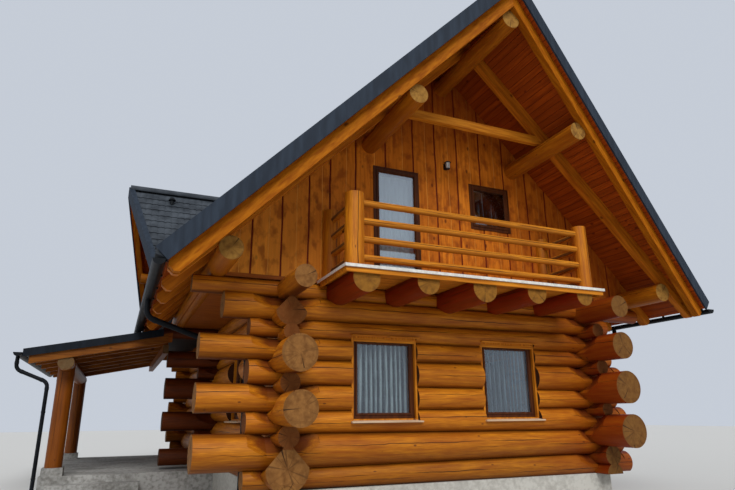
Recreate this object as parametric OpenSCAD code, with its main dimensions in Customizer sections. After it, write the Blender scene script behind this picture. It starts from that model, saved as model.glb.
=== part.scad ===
// Alpine log chalet. The ground floor is laid up in round saddle-notched logs, the attic
// floor is carried past them on the long plate logs, and boarded gables close a steep
// purlin roof whose verges lean out towards the ridge. X runs along the front wall,
// Y from the front to the back and Z up, and the origin is on the ground under the
// middle of the front log wall.

/* [Plan] */
// Width of the log house, between the axes of its side walls
house_w = 5840; // [5200:20:7100]
// Length of the log house, between the axes of its end walls
house_l = 11000; // [10800:50:13300]
// Distance from the front wall to the cross wall, whose log ends show at the side
cross_y = 5500; // [5000:50:6000]
// Width of the side gable, from the cross wall on
side_gable_w = 4600; // [4000:50:4800]
// Height of the concrete plinth
plinth_h = 500; // [300:10:700]
// Thickness of the concrete plinth
plinth_t = 300; // [240:10:340]

/* [Log walls] */
// Heights of the nine courses of the end walls, from the plinth up
course_h = [306, 434, 344, 342, 392, 302, 301, 329, 234];
// Radii of the left wall's nine logs in their middles, from the plinth up
left_r = [140, 270, 185, 210, 180, 225, 150, 200, 195];
// Radii of the right wall's nine logs in their middles, from the plinth up
right_r = [140, 200, 240, 150, 240, 165, 200, 160, 225];
// Height of the axes of the side walls' first whole logs above the plinth
side_first = 306; // [280:2:340]
// How deep each log is scribed over the one below
scribe = 30; // [10:2:50]
// Growth of an end log's radius from its middle to its butt
end_taper = 22; // [0:1:30]
// Growth of a side log's radius from its middle to its butt
side_taper = 32; // [0:1:40]
// How far the end logs' butts stick out past the left wall's axis
end_butt = 1240; // [700:10:1400]
// How far the front wall's uppermost butt sticks out past the left wall's axis
upper_butt = 940; // [700:10:1400]
// How far the end logs' butts stick out on the right and at the back
short_butt = 680; // [560:10:800]
// How far an end log's tip sticks out past a side wall's axis
end_tip = 540; // [350:10:680]
// How far the left wall's nine logs stick out in front, from the plinth up
left_out = [430, 440, 440, 990, 440, 890, 430, 400, 1070];
// How far the right wall's nine logs stick out in front, from the plinth up
right_out = [430, 430, 960, 430, 960, 430, 960, 430, 1000];
// How far a side log's butt sticks out past the back wall's axis
side_butt = 960; // [600:10:1200]
// How far a side log's tip sticks out past the back wall's axis
side_tip = 430; // [350:10:580]
// How far the plate logs stick out to carry the eave purlins
plate_out = 1400; // [1250:10:1600]
// Reach of the flat scarfs to each side of a notch
scarf_l = 520; // [400:10:650]
// Depth of the scarfs as a share of the log's radius
scarf_d = 0.42; // [0.2:0.02:0.5]
// Air left in scribed grooves and notches
log_fit = 0.3; // [0.2:0.1:2]

/* [Windows and doors] */
// Width of a window opening in a log wall
win_w = 1130; // [900:10:1300]
// Height of a window opening in a log wall
win_h = 1280; // [900:10:1400]
// Height of the window openings' sills above the ground
win_sill = 1420; // [1300:10:1600]
// Position of the left front window from the middle of the wall
win_left = -1300; // [-1500:10:-1100]
// Position of the right front window from the middle of the wall
win_right = 1080; // [900:10:1400]
// Thickness of the lining boards of a log wall opening
lining_t = 32; // [24:1:45]
// Width of the window and door frame members
frame_w = 68; // [50:1:90]
// Depth of the window and door frames
frame_d = 78; // [60:1:90]
// Thickness of the glass units
glass_t = 24; // [4:1:30]
// Width of the balcony door with its frame
bdoor_w = 890; // [780:10:1000]
// Height of the balcony door with its frame
bdoor_h = 2130; // [1950:10:2300]
// Position of the balcony door from the middle of the wall
bdoor_x = -1010; // [-1200:10:-900]
// Width and height of the attic windows with their frames
attic_win = 885; // [700:5:1000]
// Position of the front attic window from the middle of the wall
attic_win_x = 945; // [800:5:1100]
// Width of the entrance door opening
entry_w = 1100; // [950:10:1200]
// Height of the entrance door opening above the floor
entry_h = 2120; // [2000:10:2250]

/* [Attic] */
// Thickness of the attic floor
floor_t = 60; // [40:2:90]
// Thickness of the boarded gable walls
gable_t = 180; // [120:5:220]

/* [Roof] */
// Pitch of all main roof slopes in degrees
pitch = 44.5; // [42:0.5:47]
// Depth of the rafters, square to the slope
rafter_d = 200; // [160:5:240]
// Thickness of the rafters
rafter_t = 120; // [80:5:160]
// Largest distance from rafter to rafter
rafter_step = 1000; // [700:10:1200]
// Height of the collar ties
tie_h = 150; // [100:5:200]
// Thickness of the collar ties
tie_t = 100; // [60:5:140]
// Thickness of the roof boarding
boarding_t = 28; // [20:1:40]
// Thickness of the layers over the boarding up to the tiles' faces
cover_t = 180; // [120:5:220]
// How far the rafters reach past the side wall's axis, measured level
eave_out = 1810; // [1700:10:2100]
// How far the roof covering reaches past the rafters' tails
cover_over = 30; // [10:5:60]
// How far the ridge reaches out in front of the end wall's axis
verge_out = 2510; // [2200:10:2800]
// How far the verges step back for each unit of distance from the ridge
prow = 0.25; // [0.15:0.01:0.28]
// How far the ridge of the side gable lies below the main ridge
side_drop = 616; // [500:10:800]
// Depth of the purlins' seats in the rafters
purlin_seat = 25; // [10:1:40]
// Radius of the ridge and middle purlins
purlin_r = 155; // [120:5:180]
// Radius of the eave purlins
eave_purlin_r = 165; // [140:5:180]
// Distance of the middle purlins from the ridge, measured level
mid_purlin_x = 1515; // [1400:5:1700]
// Distance of the eave purlins from the side wall's axis
eave_purlin_out = 1040; // [950:10:1150]
// How far the eave purlins stick out past the end walls' axes
eave_purlin_end = 1080; // [900:10:1250]
// Radius of the ridge caps
ridge_r = 105; // [80:5:120]
// Radius of the roof vent's cowl
vent_r = 100; // [60:5:130]
// Height of the roof vent's pipe above the tiles
vent_h = 110; // [90:10:300]
// How far the roof vent stands outside the side wall's axis
vent_out = 1370; // [800:10:1800]
// Distance of the roof vent from the side ridge, measured level
vent_down = 500; // [300:10:900]
// Radius of the eaves gutters
gutter_r = 76; // [60:1:90]
// Radius of the downpipes
downpipe_r = 44; // [35:1:55]
// Distance of the downpipes from the end walls' axes
downpipe_y = 1000; // [600:10:1800]
// Length of the downpipes' outlets under the gutters
outlet_l = 270; // [120:10:320]

/* [Balcony] */
// Position of the balcony's left end
balcony_left = -2440; // [-2600:10:-2300]
// Position of the balcony's right end
balcony_right = 2270; // [2100:10:2500]
// How far the balcony deck reaches in front of the front wall's axis
balcony_out = 1330; // [1200:10:1500]
// Height of the deck above the attic floor's underside
deck_rise = 30; // [0:5:60]
// Thickness of the deck boards
deck_t = 45; // [30:1:60]
// Height of the fascia boards under the deck's edges
fascia_h = 68; // [50:1:90]
// Radii of the five log joists, from left to right
joist_r = [208, 185, 214, 185, 163];
// Radii of the left and right posts
bpost_r = [145, 122];
// Heights of the posts above the deck, in front and at the wall
bpost_h = [1135, 1185];
// Radius of the log rails
rail_r = 51; // [38:1:56]
// Height of the lowest rail's axis above the deck
rail_low = 158; // [130:2:180]
// Distance from rail to rail
rail_step = 283; // [230:1:300]

/* [Porch] */
// How far the porch roof's edge lies from the side wall's axis
porch_out = 3980; // [3600:10:4300]
// Height of the porch roof's upper face at its outer edge
porch_z = 2790; // [2650:10:2900]
// Pitch of the porch roof in degrees
porch_pitch = 11.3; // [9:0.1:12]
// Distance of the porch roof's front edge before the cross wall
porch_front = 1000; // [800:10:1100]
// Length of the porch roof along the house
porch_l = 6350; // [5800:10:6400]
// Radius of the porch posts
porch_post_r = 158; // [110:2:170]
// Side of the concrete piers under the porch posts
pier = 380; // [320:10:450]
// Height of the concrete piers above the porch slab
pier_h = 150; // [80:10:300]
// Height of the porch slab
porch_slab_h = 420; // [300:10:480]
// Going of each porch step
step_going = 330; // [280:5:380]
// Width of the porch steps
step_w = 1650; // [900:10:1800]

/* [Hidden] */
$fn = 96;
hw = house_w / 2;
tanp = tan(pitch);
cosp = cos(pitch);
sinp = sin(pitch);
far = 20000;

// Heights of the courses: joints between the end walls' logs, and their axes
courses = len(course_h);
function joint_z(i) = plinth_h + (i == 0 ? 0 : joint_z(i - 1) - plinth_h + course_h[i - 1]);
function end_z(i) = (joint_z(i) + joint_z(i + 1)) / 2;
function end_r(i) = course_h[i] / 2 + scribe / 2;
// The side walls' logs lie between those courses, each scribed to the one below
function side_r(i, x) = x < 0 ? left_r[i] : right_r[i];
function side_z(i, x) = i == 0 ? plinth_h
    : i == 1 ? plinth_h + side_first
    : side_z(i - 1, x) + side_r(i - 1, x) + side_r(i, x) - scribe;
plate_top = joint_z(courses) + scribe / 2;
run_out = 12;
floor_z = plate_top + log_fit;
deck_z = floor_z + deck_rise;

// Roof planes: z of a plane on the ridge line, for an offset square to the slope that is
// counted up from the rafters' upper faces
eave_purlin_x = hw + eave_purlin_out;
eave_purlin_z = plate_top + eave_purlin_r - 20;
rafter_foot = eave_purlin_z + (eave_purlin_r - purlin_seat) / cosp;
ridge_z = rafter_foot + eave_purlin_x * tanp + rafter_d / cosp;
function plane_z(off, x) = ridge_z + off / cosp - abs(x) * tanp;
slope_s = (hw + eave_out) / cosp;
cover_top = boarding_t + cover_t;
purlin_drop = (purlin_r - purlin_seat + rafter_d) / cosp;
side_y = cross_y + side_gable_w / 2;
side_end = cross_y + side_gable_w;
verge_face = 30;
barge_face = 110;
tail_h = 140;
prow_k = sqrt(1 + prow * prow);
function verge_y(x) = -verge_out + prow * abs(x);

// Placing helpers

// Extrudes an X-Z outline from y0 to y1
module along_y(y0, y1) {
    translate([0, y1, 0])
        rotate([90, 0, 0])
            linear_extrude(y1 - y0)
                children();
}

// Extrudes a Y-Z outline from x0 to x1
module along_x(x0, x1) {
    translate([x0, 0, 0])
        rotate([90, 0, 90])
            linear_extrude(x1 - x0)
                children();
}

// Turns a gable that faces the front into the side gable, which faces left
module to_side() {
    translate([-hw, side_y, -side_drop])
        rotate([0, 0, -90])
            children();
}

// A block between two corners
module block(a, b) {
    translate(a)
        cube(b - a);
}

// Log walls

// Whether an end log has its butt at the left: the cross wall's courses are laid the
// other way round
function left_butt(i, y) = (i % 2 == 1) != (y == cross_y);
function end_left(i, y) = i == courses - 1 ? plate_out
    : !left_butt(i, y) ? end_tip
    : y == house_l ? short_butt
    : y == 0 && i == courses - 2 ? upper_butt : end_butt;
function end_right(i, y) = i == courses - 1 ? plate_out : left_butt(i, y) ? end_tip : short_butt;

// A cutter for the two flat scarfs on top of a log along X, beside a notch at its middle
module scarfs(r, grow) {
    flat = 240;
    for (a = [-48, 48])
        rotate([a, 0, 0])
            along_y(-250, 250)
                polygon([
                    [-scarf_l, r + grow],
                    [-flat, r * (1 - scarf_d) + grow],
                    [flat, r * (1 - scarf_d) + grow],
                    [scarf_l, r + grow],
                    [scarf_l, r + 200],
                    [-scarf_l, r + 200]
                ]);
}

// A log of the end walls, full length, on the wall at y, scarfed where side logs cross it
module end_log(i, y, grow = 0) {
    top = i == courses - 1;
    left = hw + end_left(i, y);
    right = hw + end_right(i, y);
    taper = top ? 0 : left_butt(i, y) ? end_taper : -end_taper;
    run = grow > 0 ? run_out : 0;
    difference() {
        translate([-left - run, y, end_z(i)])
            rotate([0, 90, 0])
                cylinder(h = left + right + 2 * run, r1 = end_r(i) + taper + grow,
                    r2 = end_r(i) - taper + grow);
        if (!top)
            for (x = [-hw, hw])
                translate([x, y, end_z(i)])
                    scarfs(end_r(i), grow);
    }
}

// A log of the side walls, full length, on the wall at x, scarfed where end logs cross it
module side_log(i, x, grow = 0) {
    top = i == courses - 1;
    butt = (i % 2 == 1) == (x < 0);
    front = x < 0 ? left_out[i] : right_out[i];
    back = top ? side_butt + 120 : butt ? side_tip : side_butt;
    taper = top ? -side_taper : butt ? side_taper : -side_taper;
    run = grow > 0 ? run_out : 0;
    difference() {
        translate([x, -front - run, side_z(i, x)])
            rotate([-90, 0, 0])
                cylinder(h = front + house_l + back + 2 * run, r1 = side_r(i, x) + taper + grow,
                    r2 = side_r(i, x) - (top ? 0 : taper) + grow);
        if (i > 0 && !top)
            for (y = [0, cross_y, house_l])
                translate([x, y, side_z(i, x)])
                    rotate([0, 0, 90])
                        scarfs(side_r(i, x), grow);
    }
}

// Openings of an end wall, as blocks that pass through it
module end_openings(y) {
    if (y != cross_y)
        for (x = [win_left, win_right])
            block([x - win_w / 2, y - 500, win_sill], [x + win_w / 2, y + 500, win_sill + win_h]);
    else
        block([-500, y - 500, plinth_h - 100], [500, y + 500, plinth_h + entry_h]);
}

// Middles of the windows along the side walls
left_windows = [cross_y / 2];
right_windows = [cross_y / 2, side_y];
entry_y = side_y;

// Openings of a side wall
module side_openings(x) {
    for (y = x < 0 ? left_windows : right_windows)
        block([x - 500, y - win_w / 2, win_sill], [x + 500, y + win_w / 2, win_sill + win_h]);
    if (x < 0)
        block([x - 500, entry_y - entry_w / 2, plinth_h - 100],
            [x + 500, entry_y + entry_w / 2, plinth_h + entry_h]);
}

// An end wall: each log is scribed over the log below and notched over the side logs,
// and the plate logs are halved into each other
module end_wall(y) {
    for (i = [0:courses - 1])
        difference() {
            end_log(i, y);
            if (i > 0)
                end_log(i - 1, y, log_fit);
            for (x = [-hw, hw])
                intersection() {
                    side_log(i, x, log_fit);
                    block([-far, -far, i == courses - 1 ? end_z(i) - log_fit / 2 : 0], [far, far, far]);
                }
            if (i == 0)
                block([-far, -far, 0], [far, far, plinth_h]);
            end_openings(y);
            if (y == 0 && i >= courses - 2)
                joists(log_fit);
        }
}

// A side wall: the first log is a half log, and the last one is its plate
module side_wall(x) {
    for (i = [0:courses - 1])
        difference() {
            side_log(i, x);
            if (i > 0) {
                side_log(i - 1, x, log_fit);
                for (y = [0, cross_y, house_l])
                    end_log(i - 1, y, log_fit);
            }
            if (i == courses - 1)
                for (y = [0, cross_y, house_l])
                    intersection() {
                        end_log(i, y, log_fit);
                        block([-far, -far, 0], [far, far, end_z(i) + log_fit / 2]);
                    }
            if (i == 0)
                block([-far, -far, 0], [far, far, plinth_h]);
            side_openings(x);
        }
}

module front_log_wall() {
    color("peru")
        end_wall(0);
}

module back_log_wall() {
    color("peru")
        end_wall(house_l);
}

module cross_log_wall() {
    color("peru")
        end_wall(cross_y);
}

module left_log_wall() {
    color("chocolate")
        side_wall(-hw);
}

module right_log_wall() {
    color("chocolate")
        side_wall(hw);
}

// Plinth and floors

module plinth() {
    o = plinth_t / 2;
    color("silver")
        difference() {
            block([-hw - o, -o, 0], [hw + o, house_l + o, plinth_h]);
            block([-hw + o, o, -1], [hw - o, cross_y - o, plinth_h + 1]);
            block([-hw + o, cross_y + o, -1], [hw - o, house_l - o, plinth_h + 1]);
        }
}

module ground_floor() {
    o = plinth_t / 2;
    color("tan")
        for (y = [[o, cross_y - o], [cross_y + o, house_l - o]])
            block([-hw + o, y[0], plinth_h - 120], [hw - o, y[1], plinth_h]);
}

module attic_floor() {
    o = eave_purlin_x + 100;
    color("burlywood")
        difference() {
            block([-o, -gable_t / 2, floor_z], [o, house_l + gable_t / 2, floor_z + floor_t]);
            block([-far, cross_y + 90, floor_z - 1], [-hw - 90, side_end - 90, floor_z + floor_t + 1]);
            for (x = [-hw, hw])
                side_log(courses - 1, x, log_fit);
            for (x = [-eave_purlin_x, eave_purlin_x])
                main_purlin(x, log_fit);
        }
}

// Gable walls

// Outline of a gable from its floor up to the boarding, in X-Z
module gable_outline(half, low) {
    intersection() {
        translate([-half, low])
            square([2 * half, far]);
        polygon([[0, plane_z(0, 0) - 1], [far, plane_z(0, far) - 1], [-far, plane_z(0, far) - 1]]);
    }
}

module attic_window_hole(x) {
    translate([x - attic_win / 2, floor_z + attic_sill])
        square(attic_win);
}

attic_sill = 1270;

module main_gable(y, door) {
    color("sienna")
        difference() {
            along_y(y - gable_t / 2, y + gable_t / 2)
                difference() {
                    gable_outline(eave_purlin_x + 60, floor_z + floor_t + log_fit);
                    attic_window_hole(attic_win_x);
                    if (door)
                        translate([bdoor_x - bdoor_w / 2, floor_z])
                            square([bdoor_w, bdoor_h + floor_t]);
                    else
                        attic_window_hole(-attic_win_x);
                }
            main_purlin_set(log_fit);
            main_rafters(log_fit);
            for (x = [-hw, hw])
                side_log(courses - 1, x, log_fit);
        }
}

module front_gable() {
    main_gable(0, true);
}

module back_gable() {
    main_gable(house_l, false);
}

// The side gable stands on the left plate log, and two cheeks close the ends of the
// main attic beside it
module side_gable() {
    color("sienna") {
        difference() {
            to_side()
                along_y(-gable_t / 2, gable_t / 2)
                    difference() {
                        gable_outline(side_gable_w / 2 - 90 - log_fit, floor_z + side_drop);
                        translate([-attic_win / 2, floor_z + side_drop + attic_sill])
                            square(attic_win);
                    }
            side_purlin_set(log_fit);
            side_log(courses - 1, -hw, log_fit);
        }
        for (y = [cross_y, side_end])
            difference() {
                along_y(y - 90, y + 90)
                    intersection() {
                        gable_outline(eave_purlin_x + 60, floor_z + floor_t + log_fit);
                        translate([-far, 0])
                            square([far - hw + 90, far]);
                    }
                main_purlin_set(log_fit);
                side_log(courses - 1, -hw, log_fit);
            }
    }
}

// Purlins

// A log purlin along the main roof; at the eaves it stops at the side gable
module main_purlin(x, grow = 0) {
    eave = abs(x) > eave_purlin_x - 1;
    r = eave ? eave_purlin_r : purlin_r;
    z = eave ? eave_purlin_z : plane_z(0, x) - purlin_drop;
    y0 = eave ? -eave_purlin_end : verge_y(x) + barge_face + 100;
    spans = eave && x < 0 ? [[y0, cross_y + 90], [side_end - 90, house_l - y0]] : [[y0, house_l - y0]];
    for (s = spans)
        translate([x, s[0], z])
            rotate([-90, 0, 0])
                cylinder(h = s[1] - s[0], r = r + grow);
}

module main_purlin_set(grow = 0) {
    for (x = [-eave_purlin_x, -mid_purlin_x, 0, mid_purlin_x, eave_purlin_x])
        main_purlin(x, grow);
}

module side_purlin_set(grow = 0) {
    to_side()
        for (x = [-mid_purlin_x, 0, mid_purlin_x])
            translate([x, verge_y(x) + barge_face + 100, plane_z(0, x) - purlin_drop])
                rotate([-90, 0, 0])
                    cylinder(h = hw * 0.7 - verge_y(x) - barge_face - 100, r = purlin_r + grow);
}

module main_purlins() {
    color("goldenrod")
        difference() {
            main_purlin_set();
            for (y = [0, cross_y, house_l])
                end_log(courses - 1, y, log_fit);
        }
}

module side_purlins() {
    color("goldenrod")
        difference() {
            side_purlin_set();
            along_y(-far, far)
                below_cover();
        }
}

// Rafters and roof layers

// Outline of one slope between two offsets square to it, from the ridge to distance s
module slope_outline(low, up, s, over = 0) {
    g = log_fit / 2 - over;
    polygon([
        [g, ridge_z + low / cosp - g * tanp],
        [s * cosp + low * sinp, ridge_z - s * sinp + low * cosp],
        [s * cosp + up * sinp, ridge_z - s * sinp + up * cosp],
        [g, ridge_z + up / cosp - g * tanp]
    ]);
}

// Outline of a rafter, whose tail is cut plumb above and tapers off below
module rafter_outline() {
    tx = slope_s * cosp;
    tz = ridge_z - slope_s * sinp;
    g = log_fit / 2;
    polygon([
        [g, plane_z(-rafter_d, g)],
        [(ridge_z - rafter_d / cosp - tz + tail_h) / tanp, tz - tail_h],
        [tx - tail_h / 2, tz - tail_h],
        [tx, tz - tail_h / 2],
        [tx, tz],
        [g, plane_z(0, g)]
    ]);
}

// Strip of the plan along a verge, between two distances behind its face
module verge_strip(a, b, over = 0) {
    y = verge_y(0) - prow * (over + 1);
    polygon([
        [-over - 1, y + a * prow_k],
        [far / 2, verge_y(far / 2) + a * prow_k],
        [far / 2, verge_y(far / 2) + b * prow_k],
        [-over - 1, y + b * prow_k]
    ]);
}

// Plan of one slope, with its verges set back by the inset
module slope_plan(inset, back, square_back = false) {
    y = verge_y(0) + inset * prow_k;
    w = far / 2;
    polygon([
        [0, y],
        [w, y + prow * w],
        [w, square_back ? back : back - y - prow * w],
        [0, square_back ? back : back - y]
    ]);
}

// Both slopes of the main roof, built on the right and mirrored
module both_slopes() {
    children();
    mirror([1, 0, 0])
        children();
}

// Space below the main roof's upper face on the left, in X-Z
module below_cover() {
    polygon([
        [1, -2 * far],
        [1, plane_z(cover_top, 0) + 1],
        [-far, plane_z(cover_top, far) + 1],
        [-far, -2 * far]
    ]);
}

// Space inside the side gable, below its boarding, through which the main slope is open
module side_attic(off) {
    to_side()
        along_y(-far, hw)
            intersection() {
                gable_outline(side_gable_w / 2 + 90, 0);
                polygon([[0, plane_z(off, 0)], [far, plane_z(off, far)], [-far, plane_z(off, far)]]);
            }
}

// Trims a piece of the side roof to what lies above the main slope
module over_main() {
    difference() {
        children();
        difference() {
            along_y(-far, far)
                below_cover();
            block([-far, cross_y + 90, 0], [-hw, side_end - 90, far]);
        }
    }
}

// A layer of the main roof
module main_layer(low, up, inset, s) {
    difference() {
        both_slopes()
            intersection() {
                along_y(-far / 4, far)
                    slope_outline(low, up, s);
                linear_extrude(far)
                    slope_plan(inset, house_l);
            }
        side_attic(-rafter_d);
        for (y = [cross_y - 90, side_y, side_end + 90])
            block([-far, y - log_fit / 2, 0], [-log_fit / 2, y + log_fit / 2, far]);
    }
}

// A layer of the side roof
module side_layer(low, up, inset, s) {
    over_main()
        to_side()
            both_slopes()
                intersection() {
                    along_y(-far / 4, hw)
                        slope_outline(low, up, s);
                    linear_extrude(far)
                        slope_plan(inset, hw, true);
                }
}

// A strip of one slope's verge on a gable that faces the front
module verge_piece(low, up, a, b, s, over = 0) {
    intersection() {
        along_y(-far / 4, far / 4)
            slope_outline(low, up, s, over);
        linear_extrude(far)
            verge_strip(a, b, over);
    }
}

// Places a verge piece on the front, back and side gables
module on_gables() {
    children();
    translate([0, house_l, 0])
        mirror([0, 1, 0])
            children();
    over_main()
        to_side()
            children();
}

module barge_pair() {
    both_slopes()
        intersection() {
            along_y(-far / 4, far / 4)
                rafter_outline();
            linear_extrude(far)
                verge_strip(barge_face, barge_face + rafter_t);
        }
}

module verge_rafters() {
    color("goldenrod")
        difference() {
            on_gables()
                barge_pair();
            main_purlin_set(log_fit);
            side_purlin_set(log_fit);
        }
}

// Number of rafter spaces between the first and last common rafter
rafter_first = 1000;
rafter_n = ceil((house_l + 2 * rafter_first) / rafter_step);

rafter_gap = (house_l + 2 * rafter_first) / rafter_n;

// The common rafters of the main roof, but for those that the side gable replaces
module main_rafters(grow = 0) {
    difference() {
        for (i = [0:rafter_n])
            both_slopes()
                along_y(-rafter_first + i * rafter_gap - rafter_t / 2 - grow,
                    -rafter_first + i * rafter_gap + rafter_t / 2 + grow)
                    if (grow > 0)
                        slope_outline(-rafter_d - grow, grow, slope_s, 40);
                    else
                        rafter_outline();
        if (grow == 0)
            side_attic(0);
    }
}

module common_rafters() {
    color("peru")
        difference() {
            union() {
                main_rafters();
                over_main()
                    to_side()
                        both_slopes()
                            along_y(-rafter_first - rafter_t / 2, -rafter_first + rafter_t / 2)
                                rafter_outline();
            }
            main_purlin_set(log_fit);
            side_purlin_set(log_fit);
            block([-hw - gable_t / 2, cross_y - 91, 0], [-hw + gable_t / 2, side_end + 91, far]);
            for (y = [cross_y, side_end])
                block([-far, y - 91, 0], [-hw + 91, y + 91, far]);
        }
}

// A tie joins the outer pair of common rafters above the middle purlins
module collar_ties() {
    z = plane_z(0, mid_purlin_x) - purlin_drop + purlin_r - 5;
    color("goldenrod")
        for (k = [0, 1])
            translate([0, k * house_l, 0])
                mirror([0, k, 0])
                    difference() {
                        along_y(-rafter_first - tie_t / 2, -rafter_first + tie_t / 2)
                            translate([-mid_purlin_x, z])
                                square([2 * mid_purlin_x, tie_h]);
                        main_purlin_set(log_fit);
                        both_slopes()
                            along_y(-rafter_first - rafter_t, -rafter_first + rafter_t)
                                slope_outline(-rafter_d - log_fit, 400, slope_s, 40);
                    }
}

module roof_boarding() {
    color("brown") {
        main_layer(log_fit, boarding_t, verge_face, slope_s + cover_over - 20);
        side_layer(log_fit, boarding_t, verge_face, slope_s + cover_over - 20);
    }
}

module roof_covering() {
    color("dimgray") {
        main_layer(boarding_t, cover_top, verge_face, slope_s + cover_over);
        side_layer(boarding_t, cover_top, verge_face, slope_s + cover_over);
    }
}

// Dark metal angle that caps each verge: a deep face and a lip on the tiles
module verge_flashings() {
    color("darkslategray")
        on_gables()
            both_slopes()
                difference() {
                    verge_piece(-8, cover_top + 10, 0, 130, slope_s + cover_over + 4);
                    verge_piece(-60, cover_top + log_fit, verge_face - log_fit, 300, slope_s + 200, 50);
                }
}

// Half-round caps bedded on the tiles along both ridges; the side one runs into the
// main slope
module ridge_caps() {
    z = plane_z(cover_top, 0) - 30;
    y = verge_y(0) + 40;
    color("slategray") {
        difference() {
            translate([0, y, z])
                rotate([-90, 0, 0])
                    cylinder(h = house_l - 2 * y, r = ridge_r);
            both_slopes()
                along_y(-far / 4, far)
                    slope_outline(0, cover_top + 10 + log_fit, slope_s, 1);
        }
        over_main()
            to_side()
                difference() {
                    translate([0, y, z])
                        rotate([-90, 0, 0])
                            cylinder(h = hw - y, r = ridge_r);
                    both_slopes()
                        along_y(-far / 4, far)
                            slope_outline(0, cover_top + 10 + log_fit, slope_s, 1);
                }
    }
}

// A vent pipe with a flared cowl on the front slope of the side roof
module roof_vent() {
    z = plane_z(cover_top, vent_down) - side_drop;
    color("dimgray")
        difference() {
            translate([-hw - vent_out, side_y - vent_down, z]) {
                translate([0, 0, -80])
                    cylinder(h = 80 + vent_h, r = vent_r * 0.55);
                translate([0, 0, vent_h - 20])
                    cylinder(h = 70, r1 = vent_r, r2 = vent_r * 0.6);
            }
            to_side()
                both_slopes()
                    along_y(-far / 4, far / 4)
                        slope_outline(-200, cover_top + log_fit, slope_s);
        }
}

// Gutters

// A half-round gutter open at the top, along Y
module gutter_run(x, y0, y1, z) {
    translate([x, y0, z])
        rotate([-90, 0, 0])
            difference() {
                cylinder(h = y1 - y0, r = gutter_r);
                translate([0, 0, 4])
                    cylinder(h = y1 - y0 - 8, r = gutter_r - 4);
                translate([-gutter_r - 1, -gutter_r - 1, -1])
                    cube([2 * gutter_r + 2, gutter_r + 1, y1 - y0 + 2]);
            }
}

eave_end_x = slope_s * cosp + cover_top * sinp;
gutter_x = (slope_s + cover_over) * cosp + boarding_t * sinp + gutter_r + 6;
gutter_z = ridge_z - (slope_s + cover_over) * sinp;
gutter_y = verge_y(gutter_x) - 30;

// Flat hooks that hold a gutter to the roof's edge, from a rim to the edge at x1
module gutter_hooks(x0, x1, y0, y1, low, high) {
    n = ceil((y1 - y0) / 900);
    for (i = [0:n])
        translate([0, y0 + 60 + (y1 - y0 - 120) * i / n, 0])
            block([min(x0, x1), -15, low], [max(x0, x1), 15, high]);
}

module eave_gutter(s, y0, y1) {
    gutter_run(s * gutter_x, y0, y1, gutter_z);
    gutter_hooks(s * (gutter_x - gutter_r + 3), s * (gutter_x - gutter_r - 31), max(y0, 60 + gutter_y), y1,
        gutter_z - 8, gutter_z + boarding_t * cosp - log_fit);
}

module gutters() {
    color("dimgray") {
        eave_gutter(1, gutter_y, house_l - gutter_y);
        eave_gutter(-1, gutter_y, cross_y + 90);
        eave_gutter(-1, side_end - 90, house_l - gutter_y);
    }
}

neck_a = 19;

// A downpipe: a short outlet, a long sloping neck to the wall and a vertical pipe
module downpipe(x, y) {
    s = x < 0 ? -1 : 1;
    wall = hw + 340;
    run = abs(x) - wall;
    drop = run * tan(neck_a);
    len = run / cos(neck_a);
    top = gutter_z - gutter_r - log_fit;
    translate([x, y, top - outlet_l])
        cylinder(h = outlet_l, r = downpipe_r);
    translate([x, y, top - outlet_l])
        sphere(downpipe_r + 5);
    translate([x, y, top - outlet_l])
        rotate([0, -s * (90 + neck_a), 0])
            cylinder(h = len, r = downpipe_r);
    translate([s * wall, y, top - outlet_l - drop])
        sphere(downpipe_r + 5);
    translate([s * wall, y, 0])
        cylinder(h = top - outlet_l - drop, r = downpipe_r);
}

module downpipes() {
    color("dimgray")
        for (p = [[-gutter_x, downpipe_y], [gutter_x, downpipe_y], [gutter_x, house_l - downpipe_y]])
            downpipe(p[0], p[1]);
}

// Balcony

joist_n = len(joist_r);
joist_first = balcony_left + 350;
joist_gap = (balcony_right - balcony_left - 740) / (joist_n - 1);

module joists(grow = 0) {
    for (i = [0:joist_n - 1])
        difference() {
            translate([joist_first + i * joist_gap, -balcony_out + 70, deck_z - deck_t - joist_r[i] * 0.59])
                rotate([-90, 0, 0])
                    cylinder(h = balcony_out + 320, r = joist_r[i] + grow);
            block([-far, -far, deck_z - deck_t - log_fit + 2 * grow], [far, far, far]);
        }
}

module balcony_joists() {
    color("peru")
        joists();
}

// The deck, with fascia boards under its edges that hide the joists' tops
module balcony_deck() {
    low = deck_z - deck_t;
    color("burlywood") {
        block([balcony_left, -balcony_out, low], [balcony_right, wall_face, deck_z - log_fit]);
        block([balcony_left + 20, 25 - balcony_out, low - fascia_h], [balcony_right - 20, 55 - balcony_out, low]);
        for (x = [balcony_left + 20, balcony_right - 50])
            block([x, 25 - balcony_out, low - fascia_h], [x + 30, -180, low]);
    }
}

bpost_y = -balcony_out + 235;
bposts = [balcony_left + 225, balcony_right - 200];
wall_face = -gable_t / 2 - log_fit;

// Corner posts on the deck's corners, and half posts against the gable wall
module balcony_posts() {
    color("peru")
        for (k = [0, 1]) {
            translate([bposts[k], bpost_y, deck_z])
                cylinder(h = bpost_h[0], r = bpost_r[k]);
            intersection() {
                translate([bposts[k], wall_face, deck_z])
                    cylinder(h = bpost_h[1], r = bpost_r[k]);
                block([-far, -far, 0], [far, wall_face, far]);
            }
        }
}

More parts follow.
